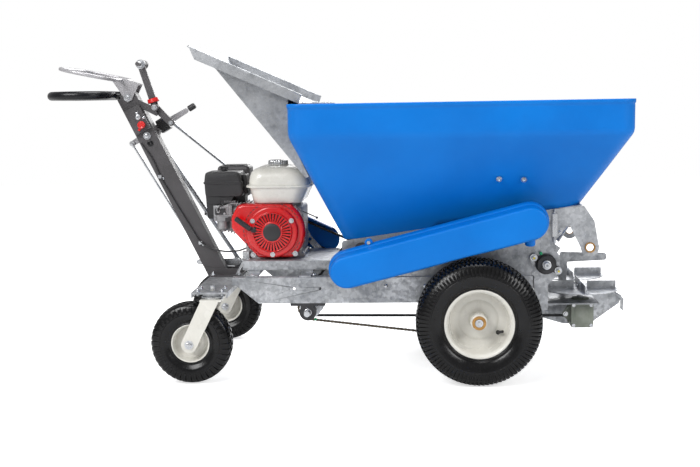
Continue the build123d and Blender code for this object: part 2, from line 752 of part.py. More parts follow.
def hopper():
    """Moulded hopper: a vertical band with a small rim, then four sloping walls down to the throat."""
    band = HOPPER_TOP - SHOULDER_Z
    outer = extrude(hopper_outline(SHOULDER_Z, 0), amount=band)
    outer += extrude(hopper_outline(HOPPER_TOP - 12, 0, 3), amount=12)
    outer += loft([throat_outline(0), hopper_outline(SHOULDER_Z, 0)], ruled=True)
    inner = extrude(hopper_outline(SHOULDER_Z, HOPPER_WALL), amount=band + GAP)
    inner += loft([throat_outline(HOPPER_WALL), hopper_outline(SHOULDER_Z, HOPPER_WALL)], ruled=True)
    return [outer - inner]


def hopper_end_x(z):
    """Outer face of the hopper's end wall below the shoulder."""
    slope = (THROAT_X[0] - HOPPER_X[0]) / (SHOULDER_Z - THROAT_Z[0])
    return HOPPER_X[0] + (SHOULDER_Z - z) * slope - GAP


def strip(start, end, y, thickness=SHEET):
    """Flat sheet seen edge-on in XZ, thickened to the upper side of the line."""
    run = hypot(end[0] - start[0], end[1] - start[1])
    nx = -(end[1] - start[1]) / run * thickness
    nz = (end[0] - start[0]) / run * thickness
    return plate([start, end, (end[0] + nx, end[1] + nz), (start[0] + nx, start[1] + nz)], y)


def loading_tray():
    """Folded sheet tray that slopes into the hopper, on a web and two gussets fixed to the hopper's end."""
    half = TRAY_HALF
    made = strip(TRAY_HIGH, TRAY_LOW, (-half, half))
    made += strip(TRAY_HIGH, TRAY_END_TOP, (-half, half), -SHEET)
    side = [TRAY_HIGH, TRAY_LOW, TRAY_SIDE_TOP, TRAY_END_TOP]
    for y in (-half, half - SHEET):
        made += plate(side, (y, y + SHEET))
    foot_x = (TRAY_LOW[0] - 2, TRAY_LOW[0] + TRAY_FOOT)
    made += block(foot_x, (-half, half), (HOPPER_TOP, HOPPER_TOP + SHEET))
    lower_z = 668.0
    wall_x = hopper_end_x(lower_z) - SHEET
    band_x = HOPPER_X[0] - SHEET - GAP
    sink = 1.5

    def under_floor(share):
        x, z = slope_point(TRAY_HIGH, TRAY_LOW, share)
        return (x, z + sink)

    upper = under_floor(0.17)
    gusset = [
        upper,
        (wall_x - 8, lower_z),
        (wall_x, lower_z + 4),
        (band_x, SHOULDER_Z),
        under_floor((band_x - TRAY_HIGH[0]) / (TRAY_LOW[0] - TRAY_HIGH[0])),
    ]
    half -= GUSSET_INSET
    for y in (-half, half - SHEET):
        made += plate(gusset, (y, y + SHEET))
    return [made + strip((wall_x - 8, lower_z), upper, (-half, half))]


def chain_guard():
    """Drafted cover over the conveyor chain, cut away round the tyre."""

    def shell(extra, y):
        return wrapped(GUARD_A, GUARD_R + extra, GUARD_B, GUARD_R + extra, y)

    front = GUARD_Y[0]
    outer = loft([_front(shell(0, (front, front + 1))), _front(shell(GUARD_DRAFT, (GUARD_Y[1], GUARD_Y[1] + 1)))])
    inside = loft(
        [
            _front(shell(-GUARD_WALL, (front + GUARD_WALL, front + GUARD_WALL + 1))),
            _front(shell(GUARD_DRAFT - GUARD_WALL, (GUARD_Y[1], GUARD_Y[1] + 1))),
        ]
    )
    arch = TYRE_R + TYRE_ROOM
    made = outer - inside
    made -= across(AXLE, arch, (front - GAP, GUARD_Y[1] + GAP))
    roof = ring(AXLE, arch + GUARD_WALL, arch, (front, GUARD_Y[1]))
    chain_r = CONVEYOR_SPROCKET_R + CHAIN_T + GAP
    half = CHAIN_W / 2 + GAP
    roof -= wrapped(COUNTER, chain_r, HEAD, chain_r, (CONVEYOR_CHAIN_Y - half, CONVEYOR_CHAIN_Y + half))
    return [made + (roof & outer)]


def _front(solid):
    """The face of a plate that looks along -Y."""
    return solid.faces().sort_by(Axis.Y)[0]


def belt_guard():
    """Open-backed cover over the engine belt on the far side."""
    y = (MAIN_BELT_Y + 14, MAIN_BELT_Y + 17)
    far_end = slope_point(CRANK, COUNTER, 0.62)
    face = wrapped(CRANK, 52, far_end, 50, y)
    wall = loop(CRANK, 49, far_end, 47, (MAIN_BELT_Y - 10, y[1]), 3)
    wall -= plate(
        [
            (far_end[0] - 10, far_end[1] - 90),
            (far_end[0] - 10, far_end[1] + 12),
            (far_end[0] + 24, far_end[1] + 20),
            (far_end[0] + 24, far_end[1] + 80),
            (TAIL[0], far_end[1] + 80),
            (TAIL[0], far_end[1] - 90),
        ],
        (MAIN_BELT_Y - 20, y[0]),
    )
    stay = across((CRANK[0] + 30, CRANK[1] + 39), 6, (ENGINE_BACK_Y + 12, y[1]))
    return [face + wall + stay]


# Handle column and controls
def handle_column():
    """Square tube column with a foot on the crossmember, a lever quadrant, a pivot block and a base bracket."""
    half = COLUMN_DEPTH / 2
    outline = [column_point(0, -half), column_point(0, half), column_point(1, half), column_point(1, -half)]
    side = COLUMN_W / 2
    made = plate(outline, (-side, side))
    bore = [column_point(-0.1, SHEET - half), column_point(-0.1, half - SHEET)]
    bore += [column_point(1.1, half - SHEET), column_point(1.1, SHEET - half)]
    made -= plate(bore, (-side + SHEET, side - SHEET))
    made += block((CROSS_X[0] + 4, CROSS_X[1] - 4), (-60, 60), (CROSS_TOP, CROSS_TOP + 6))
    toe = [(CROSS_X[0] + 6, CROSS_TOP + 6), (CROSS_X[1] - 6, CROSS_TOP + 6)]
    toe += [(CROSS_X[1] - 8, CROSS_TOP + 22), (-868, 330), column_point(0.06, -half + 1)]
    for y in (-side - 4, side):
        made += plate(toe, (y, y + 4))
    quadrant = [
        column_point(0.955, half - 1),
        (CLUTCH_PIVOT[0] + 10, CLUTCH_PIVOT[1] - 22),
        (CLUTCH_PIVOT[0] + 6, CLUTCH_PIVOT[1] - 30),
        column_point(0.9, half - 1),
    ]
    made += plate(quadrant, (-26, -12))
    made += across(CLUTCH_PIVOT, 6, (-26, 18)) + across(CLUTCH_PIVOT, 14, (-26, -16))
    made += plate([slope_point(CLUTCH_PIVOT, quadrant[1], t) for t in (0, 1)] + [quadrant[0]], (-26, -16))
    pivot_x, pivot_z = DRIVE_PIVOT
    pivot_block = block((pivot_x - 8, pivot_x + 34), (side - 1, 62), (pivot_z - 22, pivot_z + 22))
    made += Pos(pivot_x, 0, pivot_z) * Rot(0, 26, 0) * Pos(-pivot_x, 0, -pivot_z) * pivot_block
    made += across(DRIVE_PIVOT, 7, (60, DRIVE_LEVER_Y + 8))
    made -= across(BAIL_PIVOT, BAIL_PIN_R + CLEARANCE, (-60, 60))
    made -= block(CROSS_X, (-side - 5, side + 5), (CROSS_TOP - 40, CROSS_TOP))
    neck = (HANDLE_X[1], NECK_END_X)
    return [made - rod((neck[0], 0, HANDLE_Z), (neck[1] + GAP, 0, HANDLE_Z), HANDLE_R)]


def handle_loop():
    """Fixed handle: one closed round tube, level, with a short neck into the column head."""
    middle = (HANDLE_X[0] + HANDLE_X[1]) / 2
    plane = Plane(origin=(middle, 0, HANDLE_Z))
    tube = round_loop(plane, HANDLE_X[1] - HANDLE_X[0], HANDLE_W, HANDLE_CORNER, HANDLE_R)
    return [tube + rod((HANDLE_X[1], 0, HANDLE_Z), (NECK_END_X, 0, HANDLE_Z), HANDLE_R - 1)]


def bail_lever():
    """Dead-man bail: a folded plate astride the column head and a thin round loop above the handle."""
    outline = [(-1205, 922), (-1190, 930), (-1163, 985), (-1236, 1010), (-1258, 1000)]
    side = COLUMN_W / 2 + GAP
    made = plate(outline, (side, side + 4)) + plate(outline, (-side - 4, -side))
    made += plate([(-1163, 985), (-1236, 1010), (-1237, 1006), (-1165, 981)], (-side - 4, side + 4))
    made += across(BAIL_PIVOT, BAIL_PIN_R, (-side - 8, side + 8))
    lean = atan2(BAIL_RISE, BAIL_REACH)
    length = hypot(BAIL_REACH, BAIL_RISE)
    plane = Plane(
        origin=(BAIL_START[0] - BAIL_REACH / 2, 0, BAIL_START[1] + BAIL_RISE / 2),
        x_dir=(-cos(lean), 0, sin(lean)),
        z_dir=(sin(lean), 0, cos(lean)),
    )
    return [made + round_loop(plane, length, 2 * BAIL_HALF, BAIL_CORNER, BAIL_R)]


def clutch_lever():
    """Bell-crank lever: a flat bar up to the grip and a tail down to the clutch rod."""
    y = (-12.0, -12.0 + LEVER_T)
    made = wrapped(CLUTCH_PIVOT, 13, CLUTCH_TIP, 12, y)
    made += wrapped(CLUTCH_PIVOT, 13, CLUTCH_TAIL, 11, y)
    made += across(CLUTCH_TIP, 7, (-60, 46))
    made += across(CLUTCH_TAIL, 5, (-12, 12))
    return [made - across(CLUTCH_PIVOT, 6 + CLEARANCE, (-20, 0))]


def clutch_grip():
    return [ring(CLUTCH_TIP, 15, 7 + CLEARANCE, (-4, 46))]


def clutch_rod():
    """Rod from the clutch lever's tail down behind the engine, ending just short of the idler arm."""
    start = (CLUTCH_TAIL[0], 9, CLUTCH_TAIL[1])
    bend = (-905, MAIN_BELT_Y - 18, 689)
    end = (CLUTCH_ROD_END[0], MAIN_BELT_Y - 18, CLUTCH_ROD_END[1])
    made = rod(start, bend, ROD_R) + rod(bend, end, ROD_R) + Pos(*bend) * Sphere(ROD_R)
    made += across(CLUTCH_TAIL, 11, (2, 10))
    return [made - across(CLUTCH_TAIL, 5 + CLEARANCE, (0, 20))]


def drive_lever():
    """Straight flat lever on the column's far side; the traction rod hangs from its tail."""
    y = (DRIVE_LEVER_Y - LEVER_T / 2 - 4, DRIVE_LEVER_Y + LEVER_T / 2 - 4)
    made = wrapped(DRIVE_PIVOT, 14, DRIVE_TIP, 9, y)
    made += wrapped(DRIVE_PIVOT, 14, DRIVE_TAIL, 9, y)
    made += across(DRIVE_TAIL, 4, (DRIVE_LEVER_Y - 20, y[1]))
    return [made - across(DRIVE_PIVOT, 7 + CLEARANCE, (0, 200))]


def drive_grip():
    inner = slope_point(DRIVE_TIP, DRIVE_PIVOT, -0.1)
    outer = slope_point(DRIVE_TIP, DRIVE_PIVOT, -0.28)
    y = DRIVE_LEVER_Y - 4
    return [rod((inner[0], y, inner[1]), (outer[0], y, outer[1]), 11)]


def traction_rod():
    y = DRIVE_LEVER_Y - 16
    made = rod((DRIVE_TAIL[0], y, DRIVE_TAIL[1]), (ARM_TIP[0], y, ARM_TIP[1] + 3), 4)
    made += across(DRIVE_TAIL, 9, (y - 3, y + 3))
    return [made - across(DRIVE_TAIL, 4 + CLEARANCE, (0, 200))]


def traction_arm():
    """Arm below the column that works the traction clutch."""
    y = (DRIVE_LEVER_Y - 32, DRIVE_LEVER_Y - 26)
    made = wrapped(ARM_PIVOT, 13, (ARM_TIP[0] - 18, ARM_TIP[1]), 9, y)
    return [made - across(ARM_PIVOT, 6 + CLEARANCE, (0, 200))]


def column_brace():
    """Tube from the column's far side down to a foot on the crossmember."""
    top = column_point(0.7, 20)
    start = (top[0], COLUMN_W / 2 + 9, top[1])
    end = (-838.0, 128.0, CROSS_TOP + 12)
    made = rod(start, end, 8) + block((-858, -820), (112, 144), (CROSS_TOP, CROSS_TOP + 14))
    made += across(top, 8, (COLUMN_W / 2, COLUMN_W / 2 + 9))
    return [made]


def control_cover():
    """Folded cover on the column's near side that holds the stop knob."""
    side = -COLUMN_W / 2
    outline = [column_point(s, o) for s, o in ((0.93, -30), (0.93, 30), (0.8, 30), (0.8, -30))]
    made = plate(outline, (side - 16, side - 13))
    made += plate(outline, (side - 16, side)) - plate(
        [column_point(s, o) for s, o in ((0.925, -28), (0.925, 28), (0.805, 28), (0.805, -28))],
        (side - 13, side + GAP),
    )
    made -= across(STOP_KNOB, 5 + CLEARANCE, (side - 20, side + 2))
    return [made]


def stop_knob():
    side = -COLUMN_W / 2
    made = across(STOP_KNOB, 13, (side - 34, side - 20))
    return [made + across(STOP_KNOB, 5, (side - 22, side - 8))]


# Engine
def engine_block():
    """Crankcase with a mounting foot, an inclined cylinder, a carburettor on its intake, and the belt side boss."""
    made = block((-790, -592), (-92, ENGINE_BACK_Y), (DECK_TOP + 10, 556))
    made = fillet(made.edges().filter_by(Axis.Y), 18)
    made -= block((-782, -600), (-84, ENGINE_BACK_Y - 8), (DECK_TOP + 18, 548))
    made += block((-796, -586), (-92, 100), (DECK_TOP, DECK_TOP + 14))
    head = block((-880, -770), (-48, 92), (452, 556))
    made += Pos(-790, 0, 500) * Rot(0, 14, 0) * Pos(790, 0, -500) * head
    made += across(CRANK, 60, (ENGINE_BACK_Y - 1, ENGINE_BACK_Y + 12))
    made += block((-902, -838), (-84, -20), (506, 560))
    made += rod((-874, -52, 474), (-874, -52, 508), 20)
    made += block((-900, -872), (-56, 40), (540, 560))
    return [made - across(CRANK, SHAFT_R + CLEARANCE, (ENGINE_BACK_Y - 62, ENGINE_BACK_Y + 20))]


def fan_cover():
    """Red blower housing, open at the back, with the recoil starter's round housing on its face."""
    outer = plate(FAN_OUTLINE, (-150, -93), 16)
    middle = [sum(p[axis] for p in FAN_OUTLINE) / len(FAN_OUTLINE) for axis in (0, 1)]
    inner = [slope_point(p, middle, 0.035) for p in FAN_OUTLINE]
    made = outer - plate(inner, (-147, -92), 14)
    made += ring(CRANK, RECOIL_R, RECOIL_R - 6, (-168, -148))
    made += across(CRANK, RECOIL_R, (-170, -167)) - across(CRANK, 8, (-180, -160))
    return [made]


def starter_grip():
    return [rod(GRIP_START, GRIP_END, 9)]


def fuel_tank():
    """Two pressed halves with a seam flange, hollow, with a filler neck."""
    made = fillet(block(TANK_X, TANK_Y, TANK_Z).edges(), 26)
    seam = block((TANK_X[0] - 5, TANK_X[1] + 5), (TANK_Y[0] - 5, TANK_Y[1] + 5), (624, 630))
    made += fillet(seam.edges().filter_by(Axis.Z), 30)
    wall = 2.5
    hollow = [(low + wall, high - wall) for low, high in (TANK_X, TANK_Y, TANK_Z)]
    made -= fillet(block(*hollow).edges(), 23)
    made += rod((*CAP_AT, TANK_Z[1] - 4), (*CAP_AT, TANK_Z[1] + 5), 24)
    made += block((-700, -650), (-85, TANK_Y[1] - 30), (556, TANK_Z[0] + 2))
    return [made - rod((*CAP_AT, 640), (*CAP_AT, TANK_Z[1] + 6), 20)]


def fuel_cap():
    top = TANK_Z[1] + 26
    made = rod((*CAP_AT, TANK_Z[1] + 6), (*CAP_AT, top), 33)
    return [made + rod((*CAP_AT, TANK_Z[1] - 10), (*CAP_AT, TANK_Z[1] + 7), 20 - 4 * CLEARANCE)]


def air_cleaner():
    """Air cleaner: base on the intake, cover with a stepped lower part."""
    upper = fillet(block((-934, -806), (-78, 54), (598, 676)).edges(), 10)
    lower = fillet(block((-930, -904), (-70, 40), (522, 606)).edges().filter_by(Axis.Y), 6)
    return [upper + lower + block((-904, -872), (-70, 0), (562, 606))]


def muffler():
    """Silencer box with its shield, on the far side of the cylinder."""
    return [fillet(block((-912, -794), (62, 158), (580, 690)).edges(), 14)]


# Control cable, held by clips along the column
def cable_radii(points):
    """Fillet radius of each corner, as large as its two runs allow."""
    radii = []
    for before, at, after in zip(points, points[1:], points[2:]):
        one = Vector(*at) - Vector(*before)
        two = Vector(*after) - Vector(*at)
        turn = radians(one.get_angle(two))
        radii.append(0.45 * min(one.length, two.length) / tan(turn / 2))
    return radii


def throttle_cable():
    radii = cable_radii(CABLE_POINTS)
    print("throttle cable radii, mm:", [round(r) for r in radii])
    path = FilletPolyline(*CABLE_POINTS, radius=radii)
    start = Plane(origin=path @ 0, z_dir=path % 0)
    tube = sweep(start * Circle(CABLE_R), path=path)
    length = path.length
    print("throttle cable length, mm:", round(length), "volume ratio:", round(tube.volume / (9 * pi * length), 3))
    return [tube]


NODES = {
    "frame_rails": frame_rails,
    "caster_crossmember": caster_crossmember,
    "engine_deck": engine_deck,
    "handle_column": handle_column,
    "column_brace": column_brace,
    "control_cover": control_cover,
    "stop_knob": stop_knob,
    "handle_loop": handle_loop,
    "bail_lever": bail_lever,
    "clutch_lever": clutch_lever,
    "clutch_grip": clutch_grip,
    "clutch_rod": clutch_rod,
    "drive_lever": drive_lever,
    "drive_grip": drive_grip,
    "traction_rod": traction_rod,
    "traction_arm": traction_arm,
    "throttle_cable": throttle_cable,
    "hopper": hopper,
    "loading_tray": loading_tray,
    "chain_guard": chain_guard,
    "belt_guard": belt_guard,
    "side_plates": side_plates,
    "metering_gate": metering_gate,
    "shaft_bearings": shaft_bearings,
    "head_roller": head_roller,
    "tail_roller": tail_roller,
    "conveyor_belt": conveyor_belt,
    "conveyor_chain": conveyor_chain,
    "beater": beater,
    "spinner_carrier": spinner_carrier,
    "gearboxes": gearboxes,
    "cross_shaft": cross_shaft,
    "spinner_right": lambda: spinner(-1),
    "spinner_left": lambda: spinner(1),
    "spinner_belt": lambda: belt(
        JACK, SPINNER_JACK_R, (DISC_X, SPINNER_SHAFT_Z), SPINNER_PULLEY_R, SPINNER_BELT_Y
    ),
    "drive_axle": drive_axle,
    "axle_sprocket": axle_sprocket,
    "drive_rims": drive_rims,
    "drive_tyres": drive_tyres,
    "drive_chain": drive_chain,
    "jackshaft": jackshaft,
    "jack_belt": lambda: belt(COUNTER, SMALL_PULLEY_R, JACK, JACK_BELT_R, JACK_BELT_Y),
    "countershaft": countershaft,
    "main_belt": lambda: belt(CRANK, MAIN_PULLEY_R, COUNTER, MAIN_PULLEY_R, MAIN_BELT_Y),
    "idler_arm": idler_arm,
    "idler_roller": idler_roller,
    "crankshaft": crankshaft,
    "engine_block": engine_block,
    "fan_cover": fan_cover,
    "starter_grip": starter_grip,
    "fuel_tank": fuel_tank,
    "fuel_cap": fuel_cap,
    "air_cleaner": air_cleaner,
    "muffler": muffler,
}
for wheel_side, sign in (("right", -1), ("left", 1)):
    NODES[f"caster_fork_{wheel_side}"] = lambda s=sign: caster_fork(s)
    NODES[f"caster_rim_{wheel_side}"] = lambda s=sign: caster_rim(s)
    NODES[f"caster_tyre_{wheel_side}"] = lambda s=sign: caster_tyre(s)


def build():
    """Every node as a list of solids, and the shift that puts the origin under the machine's middle."""
    made = {name: make() for name, make in NODES.items()}
    flat = {name: [s for p in pieces for s in p.solids()] for name, pieces in made.items()}
    whole = Compound(children=[Compound(children=[s.moved(Location()) for s in f]) for f in flat.values()])
    box = whole.bounding_box()
    shift = Vector(-box.center().X, -box.center().Y, -box.min.Z)
    placed = {n: [s.moved(Location(shift)) for s in solids] for n, solids in flat.items()}
    return placed, shift


if __name__ == "__main__":
    os.makedirs("parts", exist_ok=True)
    nodes, origin_shift = build()
    print("shift to the origin, mm:", origin_shift)
    for node, solids in nodes.items():
        export_step(solids[0] if len(solids) == 1 else Compound(solids), f"parts/{node}.step")
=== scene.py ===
import json
from math import acos, atan2, cos, hypot, pi, radians, sin

import bmesh
import bpy
from mathutils import Matrix, Vector, noise


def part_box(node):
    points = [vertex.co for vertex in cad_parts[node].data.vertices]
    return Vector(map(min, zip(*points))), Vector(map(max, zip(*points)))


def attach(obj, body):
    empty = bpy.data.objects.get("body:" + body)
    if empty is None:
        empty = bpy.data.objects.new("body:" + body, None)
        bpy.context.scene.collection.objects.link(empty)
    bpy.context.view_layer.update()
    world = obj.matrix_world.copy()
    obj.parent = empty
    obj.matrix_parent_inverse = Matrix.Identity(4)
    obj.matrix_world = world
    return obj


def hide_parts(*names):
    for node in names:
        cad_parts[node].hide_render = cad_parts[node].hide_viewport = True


# Looks of the walk-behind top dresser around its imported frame.
# Pieces are in millimetres from the drive axle's plane (x), the middle plane (y) and the ground (z), and at()
# turns them into the frame's metres. Materials and lights are in metres.

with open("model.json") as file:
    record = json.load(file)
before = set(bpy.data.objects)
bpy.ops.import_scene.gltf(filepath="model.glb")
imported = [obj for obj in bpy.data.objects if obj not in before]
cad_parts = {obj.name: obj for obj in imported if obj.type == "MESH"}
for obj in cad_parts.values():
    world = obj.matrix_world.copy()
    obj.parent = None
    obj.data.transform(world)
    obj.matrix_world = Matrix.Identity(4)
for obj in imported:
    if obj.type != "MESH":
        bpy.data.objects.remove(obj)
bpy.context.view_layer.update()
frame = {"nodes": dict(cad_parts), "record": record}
NODES = frame["nodes"]
AXLE_X = sum(corner.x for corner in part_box("drive_axle")) / 2


def at(x, y, z):
    return Vector((AXLE_X + x / 1000, y / 1000, z / 1000))


def centre_of(node):
    """Middle of a CAD node's box as (x, z), in this script's millimetres."""
    low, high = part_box(node)
    return ((low.x + high.x) / 2 - AXLE_X) * 1000, (low.z + high.z) * 500


def slope(start, end, share):
    """Point that share of the way between two points."""
    return tuple(a + share * (b - a) for a, b in zip(start, end))


# ---------------------------------------------------------------- materials
class Nodes:
    """Short forms for building one material's node tree."""

    def __init__(self, name):
        self.material = bpy.data.materials.new(name)
        self.material.use_nodes = True
        self.tree = self.material.node_tree
        self.shader = self.tree.nodes["Principled BSDF"]
        self.place = self.add("TexCoord").outputs["Object"]

    def add(self, kind, **inputs):
        made = self.tree.nodes.new("ShaderNode" + kind)
        for key, value in inputs.items():
            socket = made.inputs[key.replace("_", " ")]
            if isinstance(value, bpy.types.NodeSocket):
                self.tree.links.new(value, socket)
            else:
                socket.default_value = value
        return made

    def link(self, value, key):
        self.tree.links.new(value, self.shader.inputs[key])

    def noise(self, scale, detail=3.0, rough=0.55, vector=None):
        made = self.add("TexNoise", Vector=vector or self.place, Scale=scale, Detail=detail, Roughness=rough)
        return made.outputs["Fac"]

    def stretch(self, value, low, high, to=(0.0, 1.0)):
        made = self.add("MapRange", Value=value)
        for key, number in zip(("From Min", "From Max", "To Min", "To Max"), (low, high, *to)):
            made.inputs[key].default_value = number
        return made.outputs["Result"]

    def mix(self, share, one, two):
        made = self.tree.nodes.new("ShaderNodeMix")
        made.data_type = "RGBA"
        for index, value in ((0, share), (6, one), (7, two)):
            if isinstance(value, bpy.types.NodeSocket):
                self.tree.links.new(value, made.inputs[index])
            else:
                made.inputs[index].default_value = value
        return made.outputs[2]

    def bump(self, height, distance, strength=1.0, under=None):
        made = self.add("Bump", Height=height, Strength=strength)
        made.inputs["Distance"].default_value = distance
        if under is not None:
            self.tree.links.new(under, made.inputs["Normal"])
        return made.outputs["Normal"]


def rgba(colour):
    return (*colour, 1.0)


def finish_material(name, dark, light, rough, metal=0.0, clouds=6.0, grain=700.0, relief=0.00008, coat=0.0):
    """Two tones in soft clouds, a roughness that drifts with them, and a fine surface relief."""
    n = Nodes(name)
    cloud = n.stretch(n.noise(clouds, 5.0), 0.32, 0.68)
    speck = n.stretch(n.noise(grain, 2.0), 0.35, 0.65)
    base = n.mix(cloud, rgba(dark), rgba(light))
    shaded = n.mix(n.stretch(speck, 0.0, 1.0, (0.0, 0.22)), base, rgba([c * 0.6 for c in dark]))
    n.link(shaded, "Base Color")
    n.link(n.stretch(n.noise(clouds * 2.3, 4.0), 0.3, 0.7, rough), "Roughness")
    n.link(n.bump(speck, relief), "Normal")
    n.shader.inputs["Metallic"].default_value = metal
    n.shader.inputs["Coat Weight"].default_value = coat
    n.shader.inputs["Coat Roughness"].default_value = 0.12
    return n.material


def galvanised():
    """Hot-dip zinc: spangle crystals of different greys, broken up by clouds and streaks."""
    n = Nodes("galvanised")
    wobble = n.add("TexNoise", Vector=n.place, Scale=40.0, Detail=3.0)
    warp = n.add("VectorMath", Vector=wobble.outputs["Color"])
    warp.operation = "SCALE"
    warp.inputs["Scale"].default_value = 0.02
    moved = n.add("VectorMath")
    moved.operation = "ADD"
    n.tree.links.new(n.place, moved.inputs[0])
    n.tree.links.new(warp.outputs["Vector"], moved.inputs[1])
    crystals = n.add("TexVoronoi", Vector=moved.outputs["Vector"], Scale=105.0)
    flake = n.add("SeparateColor", Color=crystals.outputs["Color"]).outputs["Red"]
    cloud = n.stretch(n.noise(7.0, 6.0, 0.65), 0.3, 0.7)
    base = n.mix(cloud, rgba((0.30, 0.312, 0.33)), rgba((0.67, 0.685, 0.71)))
    shade = n.mix(n.stretch(flake, 0.0, 1.0, (0.0, 0.5)), base, rgba((0.20, 0.21, 0.225)))
    stain = n.stretch(n.noise(26.0, 6.0, 0.7), 0.52, 0.72, (0.0, 0.6))
    n.link(n.mix(stain, shade, rgba((0.10, 0.11, 0.12))), "Base Color")
    n.link(n.stretch(flake, 0.0, 1.0, (0.28, 0.5)), "Roughness")
    fine = n.bump(n.noise(520.0, 3.0), 0.00012)
    n.link(n.bump(flake, 0.0001, 0.5, fine), "Normal")
    n.shader.inputs["Metallic"].default_value = 0.72
    return n.material


def moulded_blue():
    """Rotomoulded polyethylene: deep even blue, orange-peel skin and faint chalky patches."""
    n = Nodes("moulded_blue")
    cloud = n.stretch(n.noise(3.2, 4.0), 0.3, 0.7)
    base = n.mix(cloud, rgba((0.0, 0.140, 0.52)), rgba((0.0, 0.176, 0.62)))
    chalk = n.stretch(n.noise(60.0, 5.0, 0.7), 0.6, 0.85, (0.0, 0.10))
    n.link(n.mix(chalk, base, rgba((0.02, 0.27, 0.72))), "Base Color")
    n.link(n.stretch(n.noise(11.0, 4.0), 0.3, 0.7, (0.36, 0.5)), "Roughness")
    peel = n.bump(n.noise(240.0, 2.0), 0.0005, 0.55)
    n.link(n.bump(n.noise(1300.0, 2.0), 0.00008, 0.6, peel), "Normal")
    n.shader.inputs["Specular IOR Level"].default_value = 0.2
    return n.material


def rubber(name, dark, light, rough, scuffs):
    """Black rubber with a grey bloom, fine pitting and light scuffs."""
    n = Nodes(name)
    bloom = n.stretch(n.noise(14.0, 6.0, 0.65), 0.42, 0.72, (0.0, scuffs))
    n.link(n.mix(bloom, rgba(dark), rgba(light)), "Base Color")
    n.link(n.stretch(n.noise(45.0, 4.0), 0.3, 0.7, rough), "Roughness")
    pit = n.bump(n.noise(900.0, 3.0), 0.00016, 0.7)
    n.link(n.bump(n.noise(130.0, 3.0), 0.0003, 0.35, pit), "Normal")
    n.shader.inputs["Specular IOR Level"].default_value = 0.32
    return n.material


# Two-tone finishes: dark, light, range of roughness, and what differs from finish_material's own values.
FINISHES = {
    "black_powder_coat": (
        (0.055, 0.052, 0.055), (0.088, 0.083, 0.088), (0.34, 0.48), dict(grain=1100.0, relief=0.00014),
    ),
    "zinc_plate": (
        (0.50, 0.52, 0.55), (0.72, 0.73, 0.75), (0.2, 0.36), dict(metal=0.95, clouds=22.0, grain=900.0),
    ),
    "red_plastic": (
        (0.55, 0.006, 0.006), (0.68, 0.012, 0.010), (0.22, 0.32), dict(clouds=30.0, coat=0.3),
    ),
    "grey_steel": (
        (0.38, 0.375, 0.39), (0.48, 0.47, 0.49), (0.22, 0.36), dict(metal=0.4, clouds=16.0, grain=1200.0),
    ),
    "black_plastic": (
        (0.016, 0.016, 0.018), (0.032, 0.031, 0.034), (0.3, 0.46), dict(grain=1300.0, relief=0.00016),
    ),
    "cast_black": (
        (0.016, 0.016, 0.018), (0.045, 0.045, 0.048), (0.38, 0.58),
        dict(clouds=28.0, grain=420.0, relief=0.0004),
    ),
    "chain_steel": (
        (0.055, 0.042, 0.03), (0.17, 0.14, 0.10), (0.3, 0.5), dict(metal=0.8, clouds=60.0, grain=800.0),
    ),
    "gearbox_grey": (
        (0.17, 0.19, 0.155), (0.27, 0.29, 0.25), (0.4, 0.58), dict(clouds=26.0, grain=500.0, relief=0.0003),
    ),
    "cream_paint": (
        (0.65, 0.635, 0.58), (0.77, 0.755, 0.70), (0.22, 0.34), dict(clouds=9.0, grain=1000.0, coat=0.35),
    ),
    "cast_alloy": (
        (0.30, 0.30, 0.31), (0.52, 0.52, 0.53), (0.36, 0.55),
        dict(metal=0.85, clouds=30.0, grain=650.0, relief=0.0003),
    ),
    "red_paint": (
        (0.56, 0.0, 0.003), (0.70, 0.002, 0.004), (0.2, 0.32), dict(clouds=12.0, grain=900.0, coat=0.5),
    ),
    "bright_chrome": ((0.62, 0.63, 0.65), (0.82, 0.83, 0.84), (0.06, 0.16), dict(metal=1.0, clouds=40.0)),
    "bronze": ((0.42, 0.22, 0.07), (0.62, 0.36, 0.13), (0.28, 0.42), dict(metal=0.9, clouds=50.0)),
    "green_plastic": ((0.0, 0.30, 0.11), (0.01, 0.42, 0.17), (0.3, 0.42), dict(clouds=60.0)),
    "yellow_paint": ((0.62, 0.50, 0.01), (0.80, 0.66, 0.03), (0.4, 0.55), dict(clouds=90.0)),
}
MATERIALS = {
    "galvanised_steel": galvanised(),
    "blue_plastic": moulded_blue(),
    "tyre_rubber": rubber("tyre_rubber", (0.002, 0.002, 0.0025), (0.012, 0.012, 0.013), (0.16, 0.3), 0.35),
    "grip_rubber": rubber("grip_rubber", (0.003, 0.0035, 0.005), (0.014, 0.014, 0.018), (0.2, 0.34), 0.3),
}
for name, (dark, light, rough, extras) in FINISHES.items():
    MATERIALS[name] = finish_material(name, dark, light, rough, **extras)
BRONZE, GREEN, YELLOW = (MATERIALS[name] for name in ("bronze", "green_plastic", "yellow_paint"))


# ---------------------------------------------------------------- mesh tools
NEAR, FAR, UP, DOWN = (0, -1, 0), (0, 1, 0), (0, 0, 1), (0, 0, -1)


def turned(pos, axis):
    """Matrix that stands a shape built along +z on a point, along an axis."""
    return Matrix.Translation(Vector(pos)) @ Vector(axis).to_track_quat("Z", "Y").to_matrix().to_4x4()


def circle(radius, steps, height=0.0, phase=0.0):
    return [
        (radius * cos(2 * pi * (i + phase) / steps), radius * sin(2 * pi * (i + phase) / steps), height)
        for i in range(steps)
    ]


def wavy_ring(radius, height, wave, waves):
    """Ring whose radius rises and falls that many times on its way round, as on a knob made to be gripped."""
    made = []
    for k in range(6 * waves):
        turn = 2 * pi * k / (6 * waves)
        reach = radius + wave * cos(waves * turn)
        made.append((reach * cos(turn), reach * sin(turn), height))
    return made


